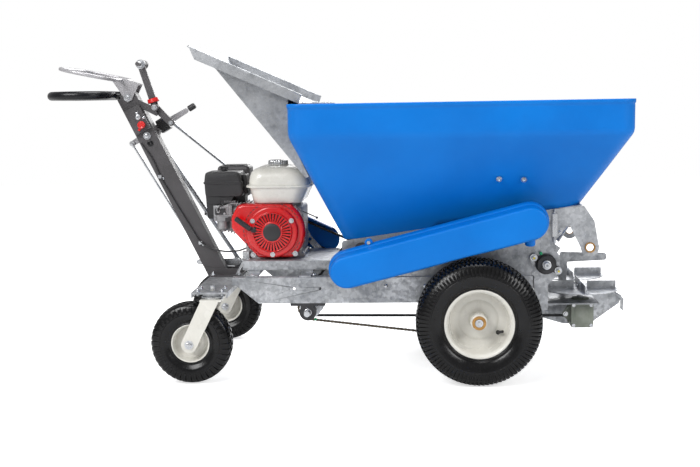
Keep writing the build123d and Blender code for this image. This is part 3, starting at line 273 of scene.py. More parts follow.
def arc_points(centre, radius, start, sweep, steps):
    made = []
    for i in range(steps + 1):
        turn = start + sweep * i / steps
        made.append((centre[0] + radius * cos(turn), centre[1] + radius * sin(turn)))
    return made


def joined(arcs, spans):
    """Closed line through arcs in turn, with the straight after each cut into that many spans."""
    made = []
    for arc, after in zip(arcs, arcs[1:] + arcs[:1]):
        made += arc + [slope(arc[-1], after[0], i / spans) for i in range(1, spans)]
    return made


def rounded(x, y, corner, z=0.0, steps=6, spans=1):
    """Rounded rectangle between (low, high) pairs, its straight sides cut into that many spans."""
    left, right = x[0] + corner, x[1] - corner
    front, back = y[0] + corner, y[1] - corner
    centres = ((right, back), (left, back), (left, front), (right, front))
    arcs = [arc_points(c, corner, quarter * pi / 2, pi / 2, steps) for quarter, c in enumerate(centres)]
    return [(px, py, z) for px, py in joined(arcs, spans)]


def curve_through(start, corner, end, steps=5):
    """Quadratic curve that rounds a corner, for points of any length."""
    made = []
    for i in range(steps + 1):
        t = i / steps
        near, mid, far = (1 - t) ** 2, 2 * t * (1 - t), t * t
        made.append(tuple(near * a + mid * b + far * c for a, b, c in zip(start, corner, end)))
    return made


def soft_profile(points, share=0.3, steps=4):
    """Open profile with each inner corner rounded."""
    made = [points[0]]
    for before, corner, after in zip(points, points[1:], points[2:]):
        made += curve_through(slope(corner, before, share), corner, slope(corner, after, share), steps)
    return made + [points[-1]]


def wrap_line(a, ra, b, rb, steps=18, spans=14):
    """Closed tangent line round two circles in (x, z)."""
    lean = atan2(b[1] - a[1], b[0] - a[0])
    turn = acos((ra - rb) / hypot(b[0] - a[0], b[1] - a[1]))
    round_b = arc_points(b, rb, lean - turn, 2 * turn, steps)
    round_a = arc_points(a, ra, lean + turn, 2 * (pi - turn), steps)
    return joined([round_b, round_a], spans)


class Shape:
    """One piece's mesh while it is put together, in millimetres."""

    def __init__(self):
        self.bm = bmesh.new()

    def skin(self, rings, caps=(True, True), around=False, place=None):
        """Skin between equal closed rings of points, with end caps, or run around into a tube's tube."""
        rows = []
        for ring in rings:
            points = [place @ Vector(p) for p in ring] if place else [Vector(p) for p in ring]
            rows.append([self.bm.verts.new(at(*p)) for p in points])
        pairs = list(zip(rows, rows[1:]))
        if around:
            pairs.append((rows[-1], rows[0]))
        count = len(rows[0])
        for low, high in pairs:
            for i in range(count):
                j = (i + 1) % count
                self.bm.faces.new((low[i], low[j], high[j], high[i]))
        if not around:
            if caps[0]:
                self.bm.faces.new(list(reversed(rows[0])))
            if caps[1]:
                self.bm.faces.new(rows[-1])
        return self

    def lathe(self, profile, pos, axis=FAR, steps=48, closed=False):
        """Solid of revolution from (radius, height) points along an axis."""
        rings = [circle(max(r, 0.02), steps, h) for r, h in profile]
        return self.skin(rings, around=closed, place=turned(pos, axis))

    def rod(self, start, end, radius, steps=20, edge=0.6):
        run = (Vector(end) - Vector(start)).length
        profile = [(radius - edge, 0), (radius, edge), (radius, run - edge), (radius - edge, run)]
        return self.lathe(profile, start, Vector(end) - Vector(start), steps)

    def wire(self, points, radius, steps=10):
        """Round wire along a line of points."""
        line = [Vector(p) for p in points]
        rings = []
        for i, p in enumerate(line):
            run = line[min(i + 1, len(line) - 1)] - line[max(i - 1, 0)]
            rings.append([tuple(turned(p, run) @ Vector(c)) for c in circle(radius, steps)])
        return self.skin(rings)

    def prism(self, outline, y, taper=0.0):
        """Plate with an outline in (x, z) between two y values; taper shrinks the first face."""
        cx = sum(p[0] for p in outline) / len(outline)
        cz = sum(p[1] for p in outline) / len(outline)
        near = [(p[0] + (cx - p[0]) * taper, y[0], p[1] + (cz - p[1]) * taper) for p in outline]
        return self.skin([near, [(p[0], y[1], p[1]) for p in outline]])

    def block(self, x, y, z, place=None):
        low = [(x[0], y[0], z[0]), (x[1], y[0], z[0]), (x[1], y[1], z[0]), (x[0], y[1], z[0])]
        return self.skin([low, [(px, py, z[1]) for px, py, _ in low]], place=place)

    def nut(self, pos, axis, size=8.0, washer=True, stud=0.0):
        """Hexagon head or nut on a washer; stud is how far a thread end stands out of it."""
        place = turned(pos, axis)
        lift = 0.0
        if washer:
            lift = size * 0.16
            self.skin([circle(size * 1.12, 24, 0), circle(size * 1.12, 24, lift)], place=place)
        tall = size * 0.75
        reach = size * 0.62 / cos(pi / 6)
        self.skin(
            [
                circle(reach * 0.96, 6, lift),
                circle(reach, 6, lift + 0.3),
                circle(reach, 6, lift + tall - 0.8),
                circle(reach * 0.86, 6, lift + tall),
            ],
            place=place,
        )
        if stud:
            top = lift + tall + stud
            turns = [(size * (0.36 if i % 2 else 0.31), lift + i * (tall + stud) / 13) for i in range(14)]
            self.skin([circle(r, 12, h) for r, h in turns] + [circle(size * 0.24, 12, top)], place=place)
        return self

    def dome(self, pos, axis, radius, height):
        """Carriage bolt or rivet head."""
        turns = [i * pi / 10 for i in range(6)]
        profile = [(radius, 0.0)] + [(radius * cos(t), height * sin(t) + 0.3) for t in turns]
        return self.lathe(profile, pos, axis, 20)

    def piece(self, name, body, slot=None, replaces=(), bevel=0.0, angle=38.0, material=None):
        """Turns the shape into an object that rides on a body, with its finish."""
        bmesh.ops.remove_doubles(self.bm, verts=self.bm.verts, dist=5e-6)
        bmesh.ops.recalc_face_normals(self.bm, faces=self.bm.faces)
        mesh = bpy.data.meshes.new(name)
        self.bm.to_mesh(mesh)
        self.bm.free()
        mesh.shade_smooth()
        if not bevel:
            mesh.set_sharp_from_angle(angle=radians(angle))
        mesh.materials.append(material or MATERIALS[slot])
        made = bpy.data.objects.new(name, mesh)
        bpy.context.scene.collection.objects.link(made)
        if bevel:
            soften(made, bevel, angle)
        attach(made, body)
        if replaces:
            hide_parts(*replaces)
        return made


def soften(obj, width, angle=38.0, weld=False):
    """Rounds an object's edges by that many millimetres and keeps its flats flat."""
    if weld:
        join = obj.modifiers.new("weld", "WELD")
        join.merge_threshold = 0.00002
    edge = obj.modifiers.new("edges", "BEVEL")
    edge.width = width / 1000
    edge.segments = 3
    edge.limit_method = "ANGLE"
    edge.angle_limit = radians(angle)
    edge.miter_outer = "MITER_ARC"
    flats = obj.modifiers.new("flats", "WEIGHTED_NORMAL")
    flats.keep_sharp = False


# ---------------------------------------------------------------- carried-over CAD nodes
SOFT_EDGES = {
    "frame_rails": 1.2, "caster_crossmember": 1.6, "engine_deck": 1.2, "handle_column": 2.4,
    "control_cover": 1.0, "column_brace": 0.8, "loading_tray": 1.0, "side_plates": 0.7,
    "spinner_carrier": 0.8, "gearboxes": 2.0, "shaft_bearings": 2.2, "clutch_lever": 1.0,
    "drive_lever": 1.2, "bail_lever": 1.2, "traction_arm": 1.0, "engine_block": 2.5, "muffler": 1.5,
    "spinner_right": 0.8, "spinner_left": 0.8, "belt_guard": 1.6, "idler_arm": 0.8, "metering_gate": 0.8,
    "caster_fork_right": 1.6, "caster_fork_left": 1.6, "beater": 0.8,
}
slots = {entry["node"]: entry["material_slot"] for entry in frame["record"]["subparts"]}
for node, obj in NODES.items():
    obj.data.materials.clear()
    obj.data.materials.append(MATERIALS[slots[node]])
    soften(obj, SOFT_EDGES.get(node, 0.5), 32.0, weld=True)


# ---------------------------------------------------------------- hopper and covers
HOPPER_X, HOPPER_Y = (-603.0, 488.0), (-410.0, 410.0)
SHOULDER_Z, RIM_Z = 803.0, 906.0
THROAT_X, THROAT_Z, THROAT_Y = (-440.0, 343.0), (453.0, 564.0), (-239.0, 239.0)
HOPPER_CORNER = 48.0
HOPPER_WALL = 6.0
RIM_FOOT = 890.0


def hopper_ring(z, inset):
    x = (HOPPER_X[0] + inset, HOPPER_X[1] - inset)
    y = (HOPPER_Y[0] + inset, HOPPER_Y[1] - inset)
    return rounded(x, y, HOPPER_CORNER - inset, z, 8, 18)


def throat_ring(inset):
    x = (THROAT_X[0] + inset, THROAT_X[1] - inset)
    y = (THROAT_Y[0] + inset, THROAT_Y[1] - inset)
    rise = (THROAT_Z[1] - THROAT_Z[0]) / (THROAT_X[1] - THROAT_X[0])
    return [
        (px, py, THROAT_Z[0] + (px - THROAT_X[0]) * rise)
        for px, py, _ in rounded(x, y, HOPPER_CORNER - inset, 0.0, 8, 18)
    ]


def hopper_skin(inset):
    """Rings of one face of the wall, from the throat up to just below the rim, with a rounded shoulder."""
    throat, shoulder = throat_ring(inset), hopper_ring(SHOULDER_Z, inset)
    rings = [[slope(a, b, share) for a, b in zip(throat, shoulder)] for share in [i / 13 for i in range(13)]]
    low = [slope(a, b, 0.955) for a, b in zip(throat, shoulder)]
    high = hopper_ring(SHOULDER_Z + 16, inset)
    bends = [curve_through(a, b, c, 5) for a, b, c in zip(low, shoulder, high)]
    rings += [[bend[i] for bend in bends] for i in range(6)]
    return rings + [hopper_ring(z, inset) for z in (840, 862, 884)]


def hopper():
    rim = [hopper_ring(892, 0), hopper_ring(894, -2.4), hopper_ring(904, -3), hopper_ring(RIM_Z, -1)]
    rim += [hopper_ring(RIM_Z, 3), hopper_ring(905, 5.4), hopper_ring(902, 6)]
    made = Shape().skin(hopper_skin(0) + rim + list(reversed(hopper_skin(HOPPER_WALL))), around=True)
    bmesh.ops.recalc_face_normals(made.bm, faces=made.bm.faces)
    made.bm.normal_update()
    for v in made.bm.verts:
        if v.co.z < RIM_FOOT / 1000:
            v.co += v.normal * noise.noise(v.co * 5.0) * 0.0011
    made.piece("hopper_shell", "chassis", "blue_plastic", ["hopper"], angle=60)


GUARD_A, GUARD_B, GUARD_R = (-421.0, 371.0), (165.0, 521.0), 51.0
GUARD_Y = (-420.0, -326.0)
TYRE_R = 203.0
AXLE_Z = 203.0
TYRE_ROOM = 16.0
GUARD_WALL = 3.5


def chain_guard():
    """Drafted stadium cover with a rounded face, a stepped flange at its back and an arch over the tyre."""
    front, back = GUARD_Y
    outer = [(-9.5, front), (-5.5, front + 0.6), (-2.2, front + 3), (-0.3, front + 7), (0.5, front + 14)]
    outer += [(4.5, back - 38), (5.0, back - 34), (8.5, back - 32), (9.5, back - 29), (12, back)]
    inner = [(12 - GUARD_WALL, back), (6, back - 29), (1.2, back - 36), (-3.5, front + 12), (-9.5, front + 4)]
    arch = TYRE_R + TYRE_ROOM
    rings = []
    for lift, (extra, y) in [(0.0, o) for o in outer] + [(GUARD_WALL, i) for i in inner]:
        ring = []
        for x, z in wrap_line(GUARD_A, GUARD_R + extra, GUARD_B, GUARD_R + extra - 0.01):
            away = hypot(x, z - AXLE_Z)
            reach = max(1.0, (arch + lift) / away)
            ring.append((x * reach, y, AXLE_Z + (z - AXLE_Z) * reach))
        rings.append(ring)
    made = Shape().skin(rings)
    made.piece("chain_guard_cover", "chassis", "blue_plastic", ["chain_guard"], angle=50)


# ---------------------------------------------------------------- wheels
WHEEL_Y, CASTER_Y = 362.0, 342.0


def tyre_profile(radius, half, bead, bead_half):
    """Section of a tyre between its beads as (radius, y), with sidewall ribs and a base for the tread."""
    wall = radius - bead
    side = [
        (bead, bead_half * 0.80), (bead, bead_half), (bead + 6, bead_half + 3), (bead + 9, bead_half + 3.5),
        (bead + 10, bead_half + 2.4), (bead + 13, bead_half + 2.6), (bead + 20, half * 0.87),
        (bead + wall * 0.36, half * 0.965), (bead + wall * 0.5, half), (bead + wall * 0.52, half),
        (bead + wall * 0.53, half - 1.4), (bead + wall * 0.56, half - 1.2), (bead + wall * 0.66, half * 0.93),
        (radius - wall * 0.22, half * 0.85), (radius - wall * 0.13, half * 0.76),
        (radius - wall * 0.075, half * 0.62), (radius - wall * 0.05, half * 0.4),
        (radius - wall * 0.045, half * 0.12),
    ]
    side = side[:1] + soft_profile(side[1:], 0.3, 2)
    return side + [(r, -y) for r, y in reversed(side)]


def lug(shape, middle, centre, angle, spread, rows):
    """One tread block: a four-cornered section swept over rows of (y, inner radius, outer radius, turn)."""
    rings = []
    for y, low, high, shift in rows:
        ring = []
        for r, side in ((low, -1), (high, -0.82), (high, 0.82), (low, 1)):
            turn = angle + side * spread + shift
            ring.append((centre[0] + r * cos(turn), middle + y, centre[1] + r * sin(turn)))
        rings.append(ring)
    shape.skin(rings)


def drive_tyre(name, middle):
    """Turf tyre: ribs on the sidewall, two shoulder rows and four crown rows of small blocks."""
    section = tyre_profile(TYRE_R, half=81.0, bead=103.0, bead_half=58.0)
    made = Shape().lathe(section, (0, middle, AXLE_Z), steps=128, closed=True)
    count = 88
    step = 2 * pi / count
    centre = (0.0, AXLE_Z)
    for i in range(count):
        turn = i * step
        for side in (-1, 1):
            outer = [(side * 80, 160, 166, 0), (side * 78, 166, 178, 0.0), (side * 71.5, 176, 189, 0.002)]
            outer += [(side * 64, 184, 195.5, 0.005), (side * 56, 190, 199.5, 0.008)]
            outer.append((side * 50, 192, 200.5, 0.010))
            lug(made, middle, centre, turn + side * step / 4, step * 0.30, outer)
            mid = [(side * 45, 192, 201.2, 0), (side * 27, 194, 202.3, 0.012)]
            lug(made, middle, centre, turn + step / 2, step * 0.34, mid)
            inner = [(side * 22, 194, 202.5, 0), (side * 4, 195, 203, -0.012)]
            lug(made, middle, centre, turn + side * step / 4, step * 0.34, inner)
    made.piece(name, "drive_wheels", "tyre_rubber", angle=32)


def caster_tyre(name, body, centre, middle):
    """Studded tyre: tall bars on the shoulders and two crown rows of broad studs."""
    section = tyre_profile(134.7, half=44.0, bead=58.0, bead_half=31.0)
    made = Shape().lathe(section, (centre[0], middle, centre[1]), steps=96, closed=True)
    count = 40
    step = 2 * pi / count
    for i in range(count):
        turn = i * step
        for side in (-1, 1):
            bar = [(side * 43.6, 100, 106, 0), (side * 42.6, 105, 117, 0), (side * 38.5, 113, 125, 0.003)]
            bar += [(side * 33, 119, 129.5, 0.008), (side * 27, 124, 131.5, 0.014)]
            bar.append((side * 22, 125, 132.6, 0.02))
            lug(made, middle, centre, turn + side * step / 4, step * 0.31, bar)
            stud = [(side * 18, 126, 133.4, 0), (side * 3, 127, 134.7, 0.03)]
            lug(made, middle, centre, turn + step / 2 + side * step / 4, step * 0.33, stud)
    made.piece(name, body, "tyre_rubber", replaces=["caster_tyre_" + body.split("_")[-1]], angle=32)


def drive_rim(name, side):
    """Deep pressed rim: rolled flange, barrel, disc with two shallow steps, and a hub with a bronze bush."""
    middle = side * WHEEL_Y
    face = [(99.5, 55), (104, 60.5), (108, 62.5), (112, 61.5), (113, 59), (112, 57.5), (108, 58.5), (102, 54)]
    face += [(98.5, 50), (97, 40)]
    barrel = [(95, 26), (93.5, 8), (90, -4), (84, -12), (74, -17), (66, -18.5), (62, -16.5), (54, -15)]
    barrel += [(40, -15.5), (31, -14)]
    hub = [(29, -8), (28, 10), (27, 33), (25.5, 36), (22, 37)]
    back = [(22, -40), (27, -40), (29, -22), (40, -20), (60, -21), (74, -22), (86, -18), (94, -10)]
    back += [(98, -20), (99, -50)]
    rear = [(104, -60), (111, -62), (113, -60), (112, -57.5), (106, -57), (102.9, -50), (102.9, 50)]
    section = soft_profile(face + barrel + hub, 0.3, 2) + soft_profile(back + rear, 0.3, 2)
    made = Shape().lathe([(r, side * y) for r, y in section], (0, middle, AXLE_Z), steps=96, closed=True)
    made.piece(name, "drive_wheels", "cream_paint", angle=40)
    collar = Shape()
    ring = [(13.2, 20), (13.2, 42), (14.2, 43), (21, 43), (22.4, 41.5), (22.4, 20)]
    collar.lathe([(r, side * y) for r, y in ring], (0, middle, AXLE_Z), closed=True)
    for turn in (radians(40), radians(215)):
        head = (19 * cos(turn), middle + side * 39, AXLE_Z + 19 * sin(turn))
        collar.nut(head, (cos(turn), 0, sin(turn)), 5.0, washer=False)
    collar.piece(name + "_collar", "drive_wheels", material=BRONZE)
    cap = Shape().nut((0, middle + side * 44, AXLE_Z), (0, side, 0), 9.0)
    cap.piece(name + "_nut", "drive_wheels", "zinc_plate")
    foot = (-62 * side, middle - side * 10, AXLE_Z - 40)
    stem = [(7, 0), (7.5, 2), (5, 6), (4.2, 20), (3.8, 24), (4.6, 25), (4.6, 36), (3.6, 37)]
    Shape().lathe(stem, foot, (14, side * 34, 10), 20).piece(name + "_valve", "drive_wheels", "black_plastic")


def caster_rim(name, body, centre, middle, side):
    """Pressed halves back to back: rolled flange, dish and bearing nose."""
    face = [(57.9, 20), (59.2, 28), (60.8, 31.5), (62.4, 32), (63.4, 33.4), (62, 34.5), (59.5, 33.6)]
    face += [(57.5, 30), (56, 24)]
    dish = [(54.5, 22), (53, 10), (49, 2), (42, -1), (30, -1.5), (22, 1), (19, 6), (18, 23), (16, 25)]
    dish.append((8.2, 25))
    one = soft_profile(face + dish, 0.3, 2)
    profile = one + [(r, -y - 0.01) for r, y in reversed(one)]
    place = (centre[0], middle, centre[1])
    made = Shape().lathe(profile, place, steps=72, closed=True)
    made.piece(name, body, "cream_paint", replaces=["caster_rim_" + body.split("_")[-1]], angle=40)
    foot = (centre[0] + 34, middle + side, centre[1] + 31)
    stem = [(5.5, 0), (6, 2), (4, 5), (3.6, 15), (4.2, 16), (4.2, 24), (3.4, 25)]
    Shape().lathe(stem, foot, (0.2, side, 0.2), 20).piece(name + "_valve", body, "black_plastic")


def wheels():
    for tag, side in (("right", -1), ("left", 1)):
        drive_tyre("turf_tyre_" + tag, side * WHEEL_Y)
        drive_rim("wheel_rim_" + tag, side)
        body = "caster_wheel_" + tag
        centre = centre_of("caster_tyre_" + tag)
        caster_tyre("caster_tread_" + tag, body, centre, side * CASTER_Y)
        caster_rim("caster_hub_" + tag, body, centre, side * CASTER_Y, side)
    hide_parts("drive_tyres")
    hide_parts("drive_rims")


# ---------------------------------------------------------------- engine
CRANK = (-688.0, 474.0)
FAN_R = 112.0
FOOT_Z = 384.0
FAN_CORNERS = [(-806, 570), (-831, 524), (-831, 482)]
CORNER_REACH = 150.0
FAN_FACE_Y, DISH_Y, GRILLE_Y = -150.0, -149.0, -160.0
LOUVRE_ARCS = ((14, 62), (106, 154), (-38, 6), (-60, -44), (200, 232))


def on_crank(y, x=0.0, z=0.0):
    """Point on the crankshaft's line at a y value, or that far beside it."""
    return CRANK[0] + x, y, CRANK[1] + z


def fan_outline(inset):
    """Blower housing seen from the front: round about the crankshaft, square at its upper left."""
    arc = arc_points(CRANK, FAN_R - inset, radians(-118), radians(174), 40)
    made = [(x, max(FOOT_Z + inset, z)) for x, z in arc]
    corners = soft_profile([made[-1], *FAN_CORNERS, made[0]], 0.22, 4)[1:-1]
    return made + [slope(corner, CRANK, inset / CORNER_REACH) for corner in corners]


def louvre_places():
    """Places round the recoil dish, on the housing's face, with x pointing away from the crankshaft."""
    face = turned(on_crank(FAN_FACE_Y), NEAR)
    made = []
    for start, end in LOUVRE_ARCS:
        count = (end - start) // 8
        for k in range(count):
            turn = radians(start + (k + 0.5) * (end - start) / count)
            made.append(face @ Matrix.Rotation(pi - turn, 4, "Z"))
    return made


def fan_cover():
    """Red blower housing with a rounded front edge, louvres, and the recoil starter's slotted dish."""
    made = Shape()
    rings = []
    for inset, y in ((0, -93), (0, -134), (1.0, -141), (4.0, -147), (9.0, -150), (14, -150.6)):
        rings.append([(x, y, z) for x, z in fan_outline(inset)])
    made.skin(rings, caps=(False, True))
    dish = [(88, 0), (88, 7), (86.5, 11), (83, 13.5), (78, 14), (70.5, 14), (68.5, 15.5), (67.5, 19)]
    dish += [(66, 20.5), (64.5, 20), (63.8, 17), (63.8, 5)]
    made.lathe(dish, on_crank(DISH_Y), NEAR, 96)
    count = 34
    for i in range(count):
        turn = 2 * pi * i / count
        place = turned(on_crank(GRILLE_Y), NEAR) @ Matrix.Rotation(turn, 4, "Z")
        rib = [(34, -2.0, 0), (66, -3.4, 0), (66, 3.4, 0), (34, 2.0, 0)]
        made.skin([rib, [(x, y, 6.5 if x > 50 else 8.5) for x, y, _ in rib]], place=place)
    made.lathe([(36, 0), (36, 9.0), (34, 10.5), (30, 10.8)], on_crank(GRILLE_Y), NEAR, 64)
    for place in louvre_places():
        vent = [(90, -4.6, 0), (97, -5.0, 0), (97, 5.0, 0), (90, 4.6, 0)]
        made.skin([vent, [(x, y * 0.86, 1.8) for x, y, _ in vent]], place=place)
    made.piece("blower_housing", "chassis", "red_paint", ["fan_cover"], bevel=0.5, angle=40)
    floor = [(64.5, 0), (64.5, 4), (30, 4), (30, 0)]
    dark = Shape().lathe(floor, on_crank(DISH_Y - 4), NEAR, 64, closed=True)
    hub = [(31, 0), (31, 12.5), (29, 14.2), (22, 15.2), (10, 15.8), (0.1, 16)]
    dark.lathe(hub, on_crank(GRILLE_Y + 2), NEAR, 64)
    # Thin black strips beside each raised louvre are painted shade for the vents' openings; the dish floor
    # and hub are black parts.
    for place in louvre_places():
        louvre_shade_strip = [(98, -4.6, 0), (100.4, -4.6, 0), (100.4, 4.6, 0), (98, 4.6, 0)]
        dark.skin([louvre_shade_strip, [(x, y, 1.2) for x, y, _ in louvre_shade_strip]], place=place)
    dark.piece("recoil_hub_and_louvre_shade", "chassis", "black_plastic")
    bolts = Shape()
    for turn in (radians(30), radians(150), radians(270)):
        bolts.nut(on_crank(GRILLE_Y - 3.5, 77 * cos(turn), 77 * sin(turn)), NEAR, 7.5)
    for x, z in ((-612, 398), (-757, 395)):
        bolts.nut((x, FAN_FACE_Y, z), NEAR, 8.0)
    bolts.piece("blower_bolts", "chassis", "zinc_plate")


def stacked(shape, rows, steps=7):
    """Vertical form from rows of (z, x, y, corner radius)."""
    return shape.skin([rounded(x, y, corner, z, steps) for z, x, y, corner in rows])


FILLER_X, FILLER_Y = -680, -16


def fuel_tank():
    """Two pressed halves joined at a flat seam, with a filler neck and a ribbed cap."""
    rows = [
        (568, (-744, -604), (-120, 100), 26), (569.5, (-752, -594), (-133, 113), 34),
        (574, (-757, -587), (-139, 119), 40), (596, (-763, -578), (-143, 123), 44),
        (620, (-769, -566), (-147, 127), 46), (624, (-771, -563), (-148, 128), 46),
        (625, (-781, -556), (-153, 133), 48), (630.5, (-781, -556), (-153, 133), 48),
        (631.5, (-772, -563), (-148, 128), 46), (645, (-771, -566), (-148, 128), 46),
        (662, (-768, -576), (-146, 126), 46), (676, (-763, -589), (-140, 120), 44),
        (686, (-753, -606), (-129, 109), 40), (692, (-738, -624), (-112, 92), 34),
        (694.5, (-720, -644), (-92, 72), 26),
    ]
    made = stacked(Shape(), rows, 9)
    made.lathe([(29, 0), (29, 5), (27, 6.5), (21, 7)], (FILLER_X, FILLER_Y, 687), UP, 40)
    made.piece("tank_shell", "chassis", "cream_paint", ["fuel_tank"], angle=50)
    rings = []
    for r, h in ((30, 0), (33, 1.5), (33.5, 4), (33.5, 15), (32, 18), (27, 19.4), (12, 19.8)):
        rings.append(wavy_ring(r, h, 1.3 if 3 < h < 16 else 0.4, 24))
    cap = Shape().skin(rings, place=Matrix.Translation((FILLER_X, FILLER_Y, 694)))
    cap.piece("filler_cap", "fuel_cap", "bright_chrome", ["fuel_cap"], angle=50)


def air_cleaner():
    """Black cover on a lower duct, with a clip band, a moulded panel, a wing nut and an elbow behind it."""
    rows = [
        (590, (-929, -808), (-74, 52), 9), (591.5, (-931, -803), (-76, 54), 10),
        (604, (-932.5, -795), (-78, 55), 11), (634, (-934, -801), (-78.5, 55), 11),
        (635, (-936.5, -799), (-81, 57), 12), (641, (-937, -800), (-81, 57), 12),
        (642, (-934.5, -803), (-78.5, 55), 11), (664, (-932, -807), (-77, 53), 11),
        (671, (-930, -809.5), (-75, 51), 11), (675, (-925, -815), (-70, 46), 10),
        (676.4, (-912, -828), (-58, 34), 8),
    ]
    cover = stacked(Shape(), rows, 6)
    panel = soft_profile([(-922, 666), (-922, 648), (-815, 648), (-819, 666), (-922, 666)], 0.2, 3)[1:-1]
    cover.prism(panel, (-79.4, -74))
    leg = [(-930, 596), (-926, 520), (-921, 513), (-899, 513), (-895, 520), (-897, 560), (-880, 566)]
    leg.append((-880, 596))
    cover.prism(leg, (-72, 38))
    cover.block((-926, -898), (-75, -70), (524, 562))
    cover.nut((-929, -74, 531), (-1, -0.2, 0), 8.0)
    cover.lathe([(12, 0), (12, 4), (7, 6), (6, 11)], (-872, -12, 676), UP, 24)
    cover.block((-886, -858), (-15, -9), (682, 692))
    cover.piece("air_cleaner_cover", "chassis", "black_plastic", ["air_cleaner"], bevel=1.6, angle=34)
    bend = [(596, (-812, -786), (-44, 40), 8), (640, (-806, -788), (-44, 40), 8)]
    bend.append((664, (-812, -792), (-40, 36), 8))
    elbow = stacked(Shape(), bend)
    elbow.block((-860, -800), (-20, 44), (566, 596))
    elbow.piece("air_cleaner_elbow", "chassis", "black_plastic", bevel=2.0)


def carburettor():
    """Float bowl, throttle body with its linkage and screws, choke and fuel levers, and the base's feet."""
    bowl = [(8, -8), (10, -6), (10, -2), (19, 2), (21, 6), (21, 27), (24, 28), (24, 32), (20, 33)]
    alloy = Shape().lathe(bowl, (-874, -56, 474), UP, 40)
    alloy.block((-898, -846), (-82, -30), (507, 524))
    alloy.block((-892, -850), (-86, -36), (524, 552))
    alloy.lathe([(15, 0), (15, 30), (19, 31), (19, 36)], (-846, -58, 538), (1, 0, 0.1), 28)
    alloy.rod((-884, -92, 540), (-884, -80, 540), 6)
    alloy.rod((-862, -94, 532), (-862, -80, 532), 4.5)
    alloy.rod((-874, -56, 552), (-874, -56, 566), 6.5)
    for x in (-895, -850):
        alloy.nut((x, -84, 516), NEAR, 5.5, washer=False)
        alloy.nut((x + 6, -87, 545), NEAR, 5.0, washer=False)
    alloy.wire(curve_through((-880, -91, 548), (-850, -96, 572), (-806, -90, 566), 12), 1.6)
    alloy.wire(curve_through((-862, -94, 528), (-830, -98, 520), (-812, -96, 548), 12), 1.4)
    spring = [(-862 + 40 * k / 90, -90 + 3 * cos(k * 0.9), 574 + 3 * sin(k * 0.9)) for k in range(91)]
    alloy.wire(spring, 0.7, 6)
    alloy.piece("carburettor", "chassis", "cast_alloy", bevel=1.2)
    dark = Shape()
    dark.block((-896, -860), (-90, -86), (528, 550))
    dark.block((-860, -834), (-96, -92), (506, 518))
    dark.wire(curve_through((-884, -92, 540), (-886, -97, 556), (-866, -99, 562), 8), 2.4)
    dark.prism([(-902, 560), (-902, 600), (-846, 606), (-832, 590), (-846, 566)], (-70, -20))
    dark.piece("carburettor_levers", "chassis", "black_plastic", bevel=0.8)
    rod_wire = Shape().wire([(-599, -52, 536), (-580, -52, 528), (-556, -52, 517), (-545, -52, 512)], 2.0)
    rod_wire.lathe([(2.2, 0), (4.4, 0.6), (4.4, 5), (2.2, 5.6)], (-544, -55, 511), FAR, 20)
    rod_wire.piece("governor_wire", "chassis", "black_powder_coat")
    feet = Shape()
    for x in (-782, -600):
        for y in (-80, 84):
            feet.nut((x, y, 392), UP, 9.0, stud=6)
    feet.block((-800, -776), (-118, -92), (378, 402))
    feet.piece("engine_feet", "chassis", "zinc_plate", bevel=0.8)


def cylinder_fins():
    """Cooling fins over the inclined cylinder, the spark plug with its cap, and the silencer's shield."""
    fins = Shape()
    pivot = Matrix.Translation((-790, 0, 500))
    tilt = pivot @ Matrix.Rotation(radians(14), 4, "Y") @ pivot.inverted()
    for k in range(8):
        x = -872 + 11 * k
        fins.block((x, x + 3.2), (-52, 96), (446, 562), tilt)
    fins.piece("cylinder_fins", "chassis", "cast_alloy", bevel=0.7)
    shield = Shape()
    for k in range(7):
        z = 596 + 12 * k
        shield.block((-916, -913), (78, 144), (z, z + 5))
        shield.block((-905, -801), (159, 161.5), (z, z + 5))
    shield.block((-890, -816), (74, 146), (690, 692))
    shield.piece("silencer_louvres", "chassis", "cast_black", bevel=0.6)
    plug = Shape().wire(curve_through((-884, 20, 500), (-930, 20, 490), (-908, 30, 540), 12), 4.0)
    plug.lathe([(7, 0), (8.5, 3), (8, 16), (5.5, 24), (4.4, 30)], (-870, 20, 502), (-0.97, 0, -0.2), 20)
    plug.piece("spark_plug_lead", "chassis", "black_plastic")


def starter():
    """Ribbed pull grip with its cord end, leaning on the blower housing."""
    start, end = Vector((-757, -190, 487)), Vector((-808, -190, 525))
    run = (end - start).length
    grip = [(4, -1.5), (7, 0)]
    for k in range(9):
        h = 2 + k * (run - 6) / 9
        grip += [(9.3, h + 1), (9.3, h + 4.2), (8.3, h + 4.8), (8.3, h + 6)]
    grip += [(9.2, run - 2), (8, run), (4, run + 1.5)]
    made = Shape().lathe(grip, start, end - start, 24)
    made.piece("pull_grip", "starter_grip", "black_plastic", ["starter_grip"], angle=30)
    port = Shape().lathe([(11, 0), (11, 10), (8, 14), (4.5, 15)], (-748, -158, 480), (-0.6, -0.7, 0.45), 24)
    port.piece("starter_port", "chassis", "black_plastic")


# ---------------------------------------------------------------- drive train
DRIVE_CHAIN_Y, CONVEYOR_CHAIN_Y = -150.0, -370.0
BEATER = (227.0, 370.0)
JACK_BEARING_Y = 234.0
TAB_Y = 244.0
DISC_X, DISC_Y = 354.0, 150.0
GEARBOX_Z, GEARBOX_Y = 189.0, 198.0


def low_high(one, other):
    """The two values with the smaller one first, as block() and prism() take them."""
    return tuple(sorted((one, other)))


